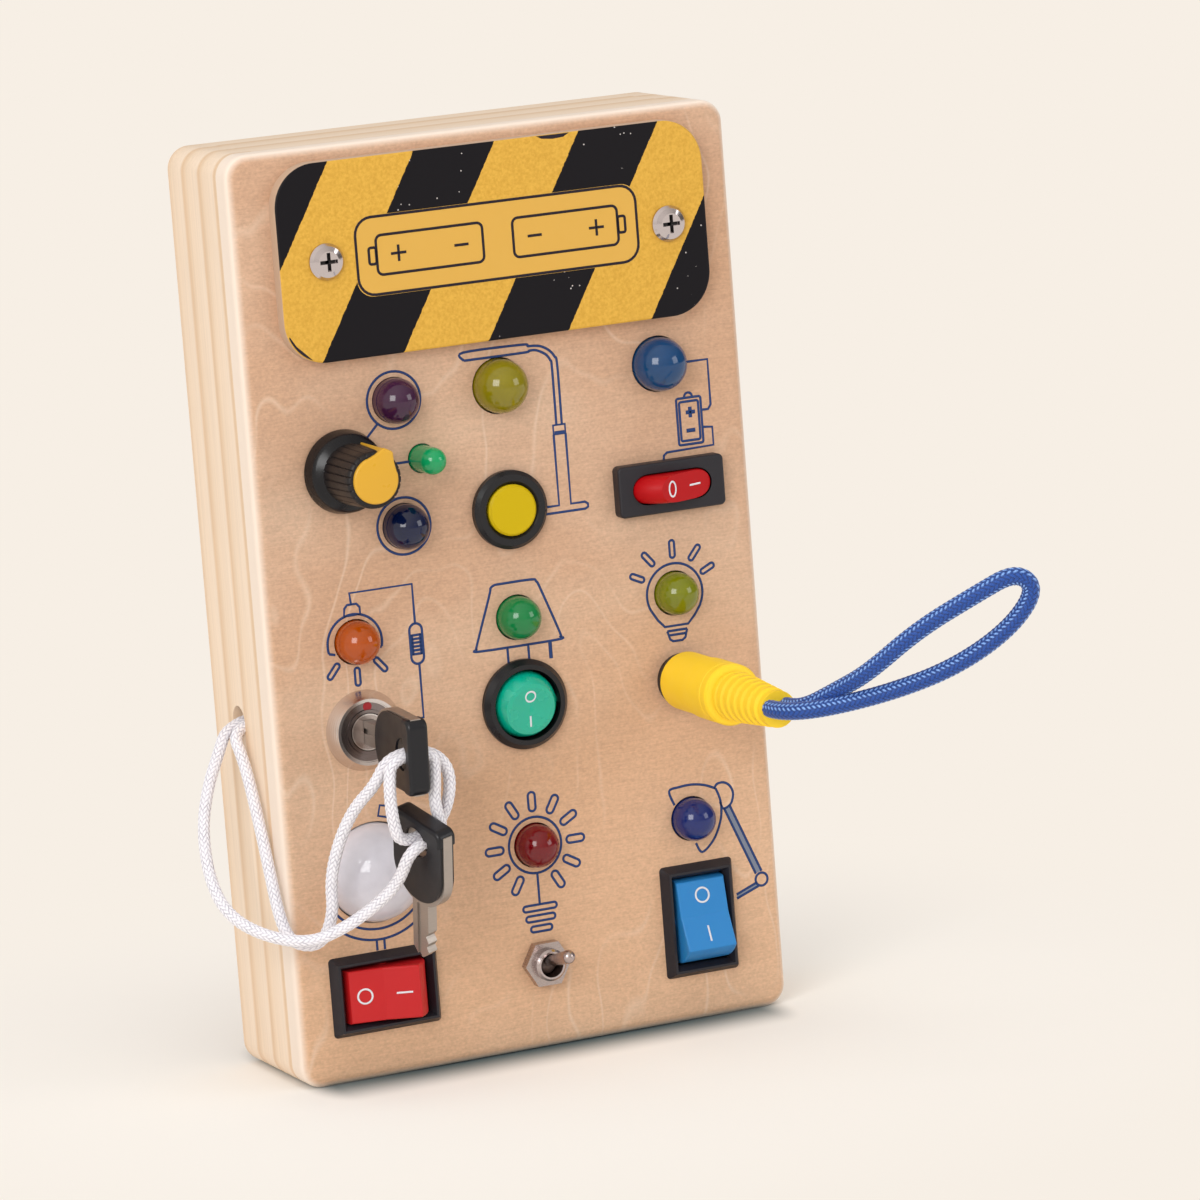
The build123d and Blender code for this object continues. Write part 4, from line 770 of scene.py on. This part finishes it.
curvedLines = ("deskTop", "deskSide", "deskKnuckle", "tableShade", "streetOuter", "streetInner")
pictures = [
    arc(-20.9, 124.6, 5.25, 0, 360), arc(-20.9, 101.4, 5.25, 0, 360),      # rings round the knob's lamps
    roundedBox(37.9, 113.2, 5.0, 8.7, 0.4), roundedBox(37.9, 113.2, 3.9, 7.3, 0.4),      # battery
    arc(37.9, 117.7, 0.8, 0, 180, 8),
    capsule(-20.3, 79.5, 2.5, 7.5, 0),      # resistor beside the pendant lamp
    *[[(-21.2, z), (-19.4, z)] for z in (77.6, 78.3, 79.0, 79.7, 80.4, 81.1)],
    [(-21.1, 77.4), (-21.1, 81.3)], [(-19.5, 77.4), (-19.5, 81.3)],
    arc(-32.4, 81.3, 5.36, -14, 194),       # pendant lamp and its rays
    [(-37.6, 80.0), (-36.4, 79.7)], [(-27.2, 80.0), (-28.4, 79.7)],
    *[capsule(x, z, 1.0, 3.3, turn)
      for x, z, turn in ((-37.0, 76.7, -40), (-32.4, 75.1, 0), (-27.7, 76.7, 40))],
    arc(32.2, 81.4, 5.7, -28, 208),         # bulb and its rays
    *[capsule(x, z, 1.0, length, turn) for x, z, length, turn in (
        (27.3, 88.5, 3.3, 40), (32.3, 89.8, 3.3, 0), (36.8, 88.5, 3.3, -40), (24.8, 85.3, 3.0, 65),
        (39.2, 85.2, 3.0, -65))],
    arc(-32.2, 38.6, 12.6, 222, 322), arc(-32.2, 38.6, 10.6, 215, 325),    # stand of the globe lamp
    arc(0.0, 38.6, 5.3, 0, 360),            # sun, its rays and its screw base
    *[capsule(8.2 * math.cos(math.radians(a)), 38.6 + 8.2 * math.sin(math.radians(a)), 1.4, 3.6, a - 90)
      for a in range(-60, 241, 30)],
    *[capsule(0.0, z, 1.1, length, 90) for z, length in ((26.8, 6.8), (24.8, 5.9), (22.8, 4.3))],
    arc(45.7, 24.8, 1.25, 0, 360, 24),      # lower joint of the desk lamp
]


def flowing(points, steps=6):
    # a smooth line through the points
    ends = [points[0]] + list(points) + [points[-1]]
    line = []
    for p0, p1, p2, p3 in zip(ends, ends[1:], ends[2:], ends[3:]):
        for i in range(steps):
            t = i / steps
            line.append(tuple(0.5 * (2 * b + (c - a) * t + (2 * a - 5 * b + 4 * c - d) * t ** 2
                                     + (3 * b - a - 3 * c + d) * t ** 3)
                              for a, b, c, d in zip(p0, p1, p2, p3)))
    return line + [tuple(points[-1])]


def boardSurface(height):
    return lambda across, up, proud: place(across, up, height + proud)


pinDepth = 0.9   # the rockers' pivot pins lie this far behind the board's face, millimetres


def rockerSurface(x, z, tilt, upright, top, slope):
    # the top of a rocker: a shallow V or flat, turned about its pivot pin
    along, across = Vector((1, 0, 0)), Vector((0, 0, 1))
    if upright:
        along, across = across, along
    c, s = math.cos(math.radians(tilt)), math.sin(math.radians(tilt))
    outward = Vector((0, -1, 0))
    turnedAlong, turnedOut = along * c + outward * s, outward * c - along * s

    def surface(a, b, proud):
        u, v = (b, a) if upright else (a, b)
        out = top + slope * abs(u) + proud
        return place(x, z, -pinDepth) + (turnedAlong * u + across * v + turnedOut * out) * mm
    return surface


inkFlatness, inkLift = 0.12, 0.01   # a stroke's height for its width, and how far it stands off, millimetres
patchThickness = 0.03
lineWidths = {"thin": 0.48, "bold": 0.75, "mark": 0.38}


def printLines(name, lines, width, material, body, surface):
    # strokes drawn flat in millimetres, then laid on a surface
    curve = bpy.data.curves.new(name, "CURVE")
    curve.dimensions = "3D"
    curve.bevel_depth = width / 2
    curve.bevel_resolution = 1
    curve.use_fill_caps = True
    for line in lines:
        closed = (Vector(line[0]) - Vector(line[-1])).length < 1e-6
        line = line[:-1] if closed else line
        spline = curve.splines.new("POLY")
        spline.points.add(len(line) - 1)
        for point, (a, b) in zip(spline.points, line):
            point.co = (a, b, 0, 1)
        spline.use_cyclic_u = closed
    holder = bpy.data.objects.new(name, curve)
    bpy.context.scene.collection.objects.link(holder)
    mesh = bpy.data.meshes.new_from_object(holder)
    bpy.data.objects.remove(holder)
    for vert in mesh.vertices:
        vert.co = surface(vert.co.x, vert.co.y, vert.co.z * inkFlatness + inkLift)
    mesh.name = name
    return addPiece(name, mesh, material, body)


def printPatch(name, outline, material, body, surface, proud=0.02):
    # a flat filled shape, laid on a surface
    bm = bmesh.new()
    face = bm.faces.new([bm.verts.new(surface(a, b, proud)) for a, b in outline[:-1]])
    bmesh.ops.solidify(bm, geom=[face], thickness=patchThickness * mm)
    return toObject(name, bm, material, body)


boardFace = boardSurface(0.0)
pictures += [flowing(line) if name in curvedLines else line for name, line in printedLines.items()]
printLines("printedPictures", pictures, lineWidths["thin"], navyInk, "board", boardFace)
printLines("printedBold", list(boldLines.values()), lineWidths["bold"], navyInk, "board", boardFace)

paleInk = moulded("greyBlueScreenInk", "#7A8090", 0.75, relief=0.2, Specular_IOR_Level=0.2)
armFills = {
    "deskArmFill": [(39.1, 39.5), (40.1, 39.8), (45.7, 26.4), (44.7, 26.1), (39.1, 39.5)],
    "deskLowFill": [(44.6, 24.2), (44.9, 23.7), (40.3, 22.0), (40.3, 22.6), (44.6, 24.2)],
}
for name, outline in armFills.items():
    printPatch(name, outline, paleInk, "board", boardFace, proud=0.004)
redDot = moulded("redPaintDot", "#9E1420", 0.4)
dotX, dotZ = lock["x"] + lock["dotAt"][0], lock["z"] + lock["dotAt"][1]
printPatch("lockDot", arc(dotX, dotZ, lock["dotRadius"], 0, 360, 24), redDot, "board",
           boardSurface(lock["rimHeight"]))

# the label shows two cells, each with a cap and a plus outside and a minus inside
label = {"x": 0.9, "z": 151.55, "width": 56.4, "height": 14.7, "corner": 3.2, "line": 0.5, "inset": 0.6,
         "cellAt": 13.5, "cellWidth": 21.0, "cellHeight": 7.2, "cellCorner": 1.1, "capAt": 11.3,
         "markAt": 6.2, "plus": 1.5, "minus": 1.4}
labelFace = boardSurface(cover["thickness"])
labelZ = label["z"]
printPatch("coverLabel", roundedBox(label["x"], labelZ, label["width"], label["height"], label["corner"]),
           labelYellow, "battery_cover", labelFace)
marks = [roundedBox(label["x"], labelZ, label["width"] - label["inset"], label["height"] - label["inset"],
                    label["corner"])]
for side in (-1, 1):
    middle = label["x"] + side * label["cellAt"]
    plusX, minusX = middle + side * label["markAt"], middle - side * label["markAt"]
    marks += [roundedBox(middle, labelZ, label["cellWidth"], label["cellHeight"], label["cellCorner"]),
              roundedBox(middle + side * label["capAt"], labelZ, 1.4, 3.0, 0.4),
              [(plusX - label["plus"], labelZ), (plusX + label["plus"], labelZ)],
              [(plusX, labelZ - label["plus"]), (plusX, labelZ + label["plus"])],
              [(minusX - label["minus"], labelZ), (minusX + label["minus"], labelZ)]]
printLines("coverLabelLines", marks, label["line"], blackInk, "battery_cover",
           boardSurface(cover["thickness"] + 0.04))
print("printed pictures done")

screwSlot = {"width": 0.66, "length": 3.3, "corner": 0.1, "height": 3.45}
slotShade = moulded("screwSlotShade", "#1C1819", 0.6)
for name, x, z in (("leftSlot", -33.0, 151.6), ("rightSlot", 35.1, 150.6)):
    for part, width, height in (("Up", screwSlot["width"], screwSlot["length"]),
                                ("Across", screwSlot["length"], screwSlot["width"])):
        printPatch(name + part, roundedBox(x, z, width, height, screwSlot["corner"]), slotShade,
                   "battery_cover", boardSurface(screwSlot["height"]))
# black print at the cover's lower left corner and upper edge
straysOfPrint = {
    "cornerPrint": arc(-34.0, 141.3, 7.8, 200, 247, 12) + [(-38.0, 135.1), (-40.0, 137.0), (-41.2, 138.9)],
    "edgePrint": [(10.0, 169.45), (11.0, 168.9), (13.2, 168.65), (15.4, 168.8), (16.6, 169.45)],
}
for name, outline in straysOfPrint.items():
    printPatch(name, outline + outline[:1], blackInk, "battery_cover", labelFace, proud=0.005)

rockerMarks = {
    "red": {"at": (-32.2, 16.4), "tilt": 17, "upright": False, "top": 3.9, "slope": 0.1236,
            "strokes": [arc(-3.7, 0, 1.35, 0, 360, 28), [(2.1, 0), (5.1, 0)]]},
    "blue": {"at": (32.2, 19.5), "tilt": -17, "upright": True, "top": 3.9, "slope": 0.1236,
             "strokes": [arc(0, 3.7, 1.35, 0, 360, 28), [(0, -5.1), (0, -2.1)]]},
    "round": {"at": (0.0, 65.3), "tilt": 9, "upright": True, "top": 3.7, "slope": 0.11,
              "strokes": [arc(0, 2.4, 1.0, 0, 360, 24), [(0, -3.4), (0, -1.4)]]},
    "oval": {"at": (32.2, 101.9), "tilt": -20, "upright": False, "top": 5.7, "slope": 0.0,
             "strokes": [[(-3.6 + a * 0.6, b) for a, b in arc(0, 0, 1.4, 0, 360, 24)], [(0.9, 0), (3.7, 0)]]},
}
for name, mark in rockerMarks.items():
    face = rockerSurface(*mark["at"], mark["tilt"], mark["upright"], mark["top"], mark["slope"])
    printLines(name + "Marks", mark["strokes"], lineWidths["mark"], whiteInk, name + "_switch", face)
print("rocker marks done")

# floor, backdrop and light; lengths in metres

# paintedShadow is the colour of a shadow painted on the paper along the board's foot; its half, stretch and
# width set where it lies and how it fades
studio = {"backdrop": "#F7EFE5", "paper": "#FAF5EE", "paintedShadow": "#5F6C6E", "floorSize": 14, "floorBack": 2,
          "paintedShadowHalf": (0.043, 0.0135), "paintedShadowStretch": 2.2, "paintedShadowWidth": 0.015,
          "fadeStart": 0.02, "fadeEnd": 0.17, "lightest": (-0.62, -0.35, 0.70), "fill": 0.6}
stageColour = linear(studio["backdrop"])


def seenRays(tree):
    # rays that see the backdrop itself: from the camera, off metal and through glass
    rays = addNode(tree, "LightPath")
    mirrored = addNode(tree, "Math", {
        0: rays.outputs["Is Glossy Ray"], 1: rays.outputs["Is Transmission Ray"]}, operation="MAXIMUM")
    direct = rays.outputs["Is Camera Ray"]
    return direct, addNode(tree, "Math", {0: direct, 1: mirrored}, operation="MAXIMUM")


bpy.ops.mesh.primitive_plane_add(size=studio["floorSize"], location=(0, studio["floorBack"], 0))
floor = bpy.context.object
floor.name = "floor"
floorPaper, tree, shader = newMaterial("paperFloor", Roughness=0.9, Specular_IOR_Level=0.0)
# the paper keeps the shadow round the board and runs into the pale backdrop further out
looked = seenRays(tree)[1]
spot = addNode(tree, "TexCoord").outputs["Object"]
toBoard = (0.0, studio["floorBack"], 0.0)
# painted shadow: a narrow dark band painted into the paper's colour where the board stands on it, fading
# faster at the sides
moved = addNode(tree, "VectorMath", {0: spot, 1: toBoard}, operation="ADD")
mirrorSide = addNode(tree, "VectorMath", {0: moved}, operation="ABSOLUTE")
beyond = addNode(tree, "VectorMath", {0: mirrorSide, 1: (*studio["paintedShadowHalf"], 0.0)},
                 operation="SUBTRACT")
ahead = addNode(tree, "VectorMath", {0: beyond, 1: (studio["paintedShadowStretch"], 1.0, 0.0)},
                operation="MULTIPLY")
outside = addNode(tree, "VectorMath", {0: ahead, 1: (0.0, 0.0, 0.0)}, operation="MAXIMUM")
gap = addNode(tree, "VectorMath", {0: outside}, operation="LENGTH")
near = addNode(tree, "MapRange", {
    "Value": gap.outputs["Value"], 2: studio["paintedShadowWidth"]}, interpolation_type="SMOOTHSTEP")
# the painted shadow's colour, mixed into the paper's colour close to the board
toned = addNode(tree, "Mix", {
    "Factor": near, 6: linear(studio["paintedShadow"]), 7: linear(studio["paper"])}, data_type="RGBA")
tree.links.new(toned.outputs[2], shader.inputs["Base Color"])
reach = addNode(tree, "VectorMath", {0: spot, 1: (0.0, -studio["floorBack"], 0.0)}, operation="DISTANCE")
fade = addNode(tree, "MapRange", {
    "Value": reach.outputs["Value"], 1: studio["fadeStart"], 2: studio["fadeEnd"]},
    interpolation_type="SMOOTHSTEP")
glow = addNode(tree, "Math", {0: fade, 1: looked}, operation="MULTIPLY")
paper = addNode(tree, "Emission", {"Color": stageColour, "Strength": 1.0})
addNode(tree, "MixShader", {0: glow, 1: shader, 2: paper},
        to=tree.nodes["Material Output"].inputs["Surface"])
floor.data.materials.append(floorPaper)

world = bpy.data.worlds.new("studio")
bpy.context.scene.world = world
world.use_nodes = True
tree = world.node_tree
tree.nodes.clear()
cameraRays, seen = seenRays(tree)
# the room is brighter to the upper left, which metal and lamps mirror
direction = addNode(tree, "TexCoord").outputs["Generated"]
towards = addNode(tree, "VectorMath", {0: direction, 1: studio["lightest"]}, operation="DOT_PRODUCT")
bright = addNode(tree, "MapRange", {"Value": towards.outputs["Value"], 1: -0.35, 2: 0.9, 3: 0.16, 4: 1.0})
strength = addNode(tree, "Mix", {0: cameraRays, 2: bright, 3: 1.0})
shown = addNode(tree, "Background", {"Color": stageColour, "Strength": strength})
lighting = addNode(tree, "Background", {"Color": (1, 1, 1, 1), "Strength": studio["fill"]})
mixed = addNode(tree, "MixShader", {0: seen, 1: lighting, 2: shown})
addNode(tree, "OutputWorld", {"Surface": mixed})

lamps = {
    "keyLamp": {"from": (-0.66, -0.66, 0.40), "away": 1.6, "size": 0.75, "power": 10.5},
    "fillLamp": {"from": (0.70, -0.66, 0.27), "away": 1.6, "size": 0.65, "power": 3.6},
    "topLamp": {"from": (-0.1, -0.25, 1.0), "away": 1.4, "size": 0.9, "power": 5.0},
}
boardMiddle = Vector((0, 0, 0.086))
for name, settings in lamps.items():
    light = bpy.data.lights.new(name, "AREA")
    light.shape = "SQUARE"
    light.size = settings["size"]
    light.energy = settings["power"]
    holder = bpy.data.objects.new(name, light)
    aim = Vector(settings["from"]).normalized()
    holder.location = boardMiddle + aim * settings["away"]
    holder.rotation_euler = aim.to_track_quat("Z", "Y").to_euler()
    bpy.context.scene.collection.objects.link(holder)
bpy.data.objects["topLamp"].visible_glossy = False

bpy.context.scene.view_settings.view_transform = "Standard"
print("stage done")
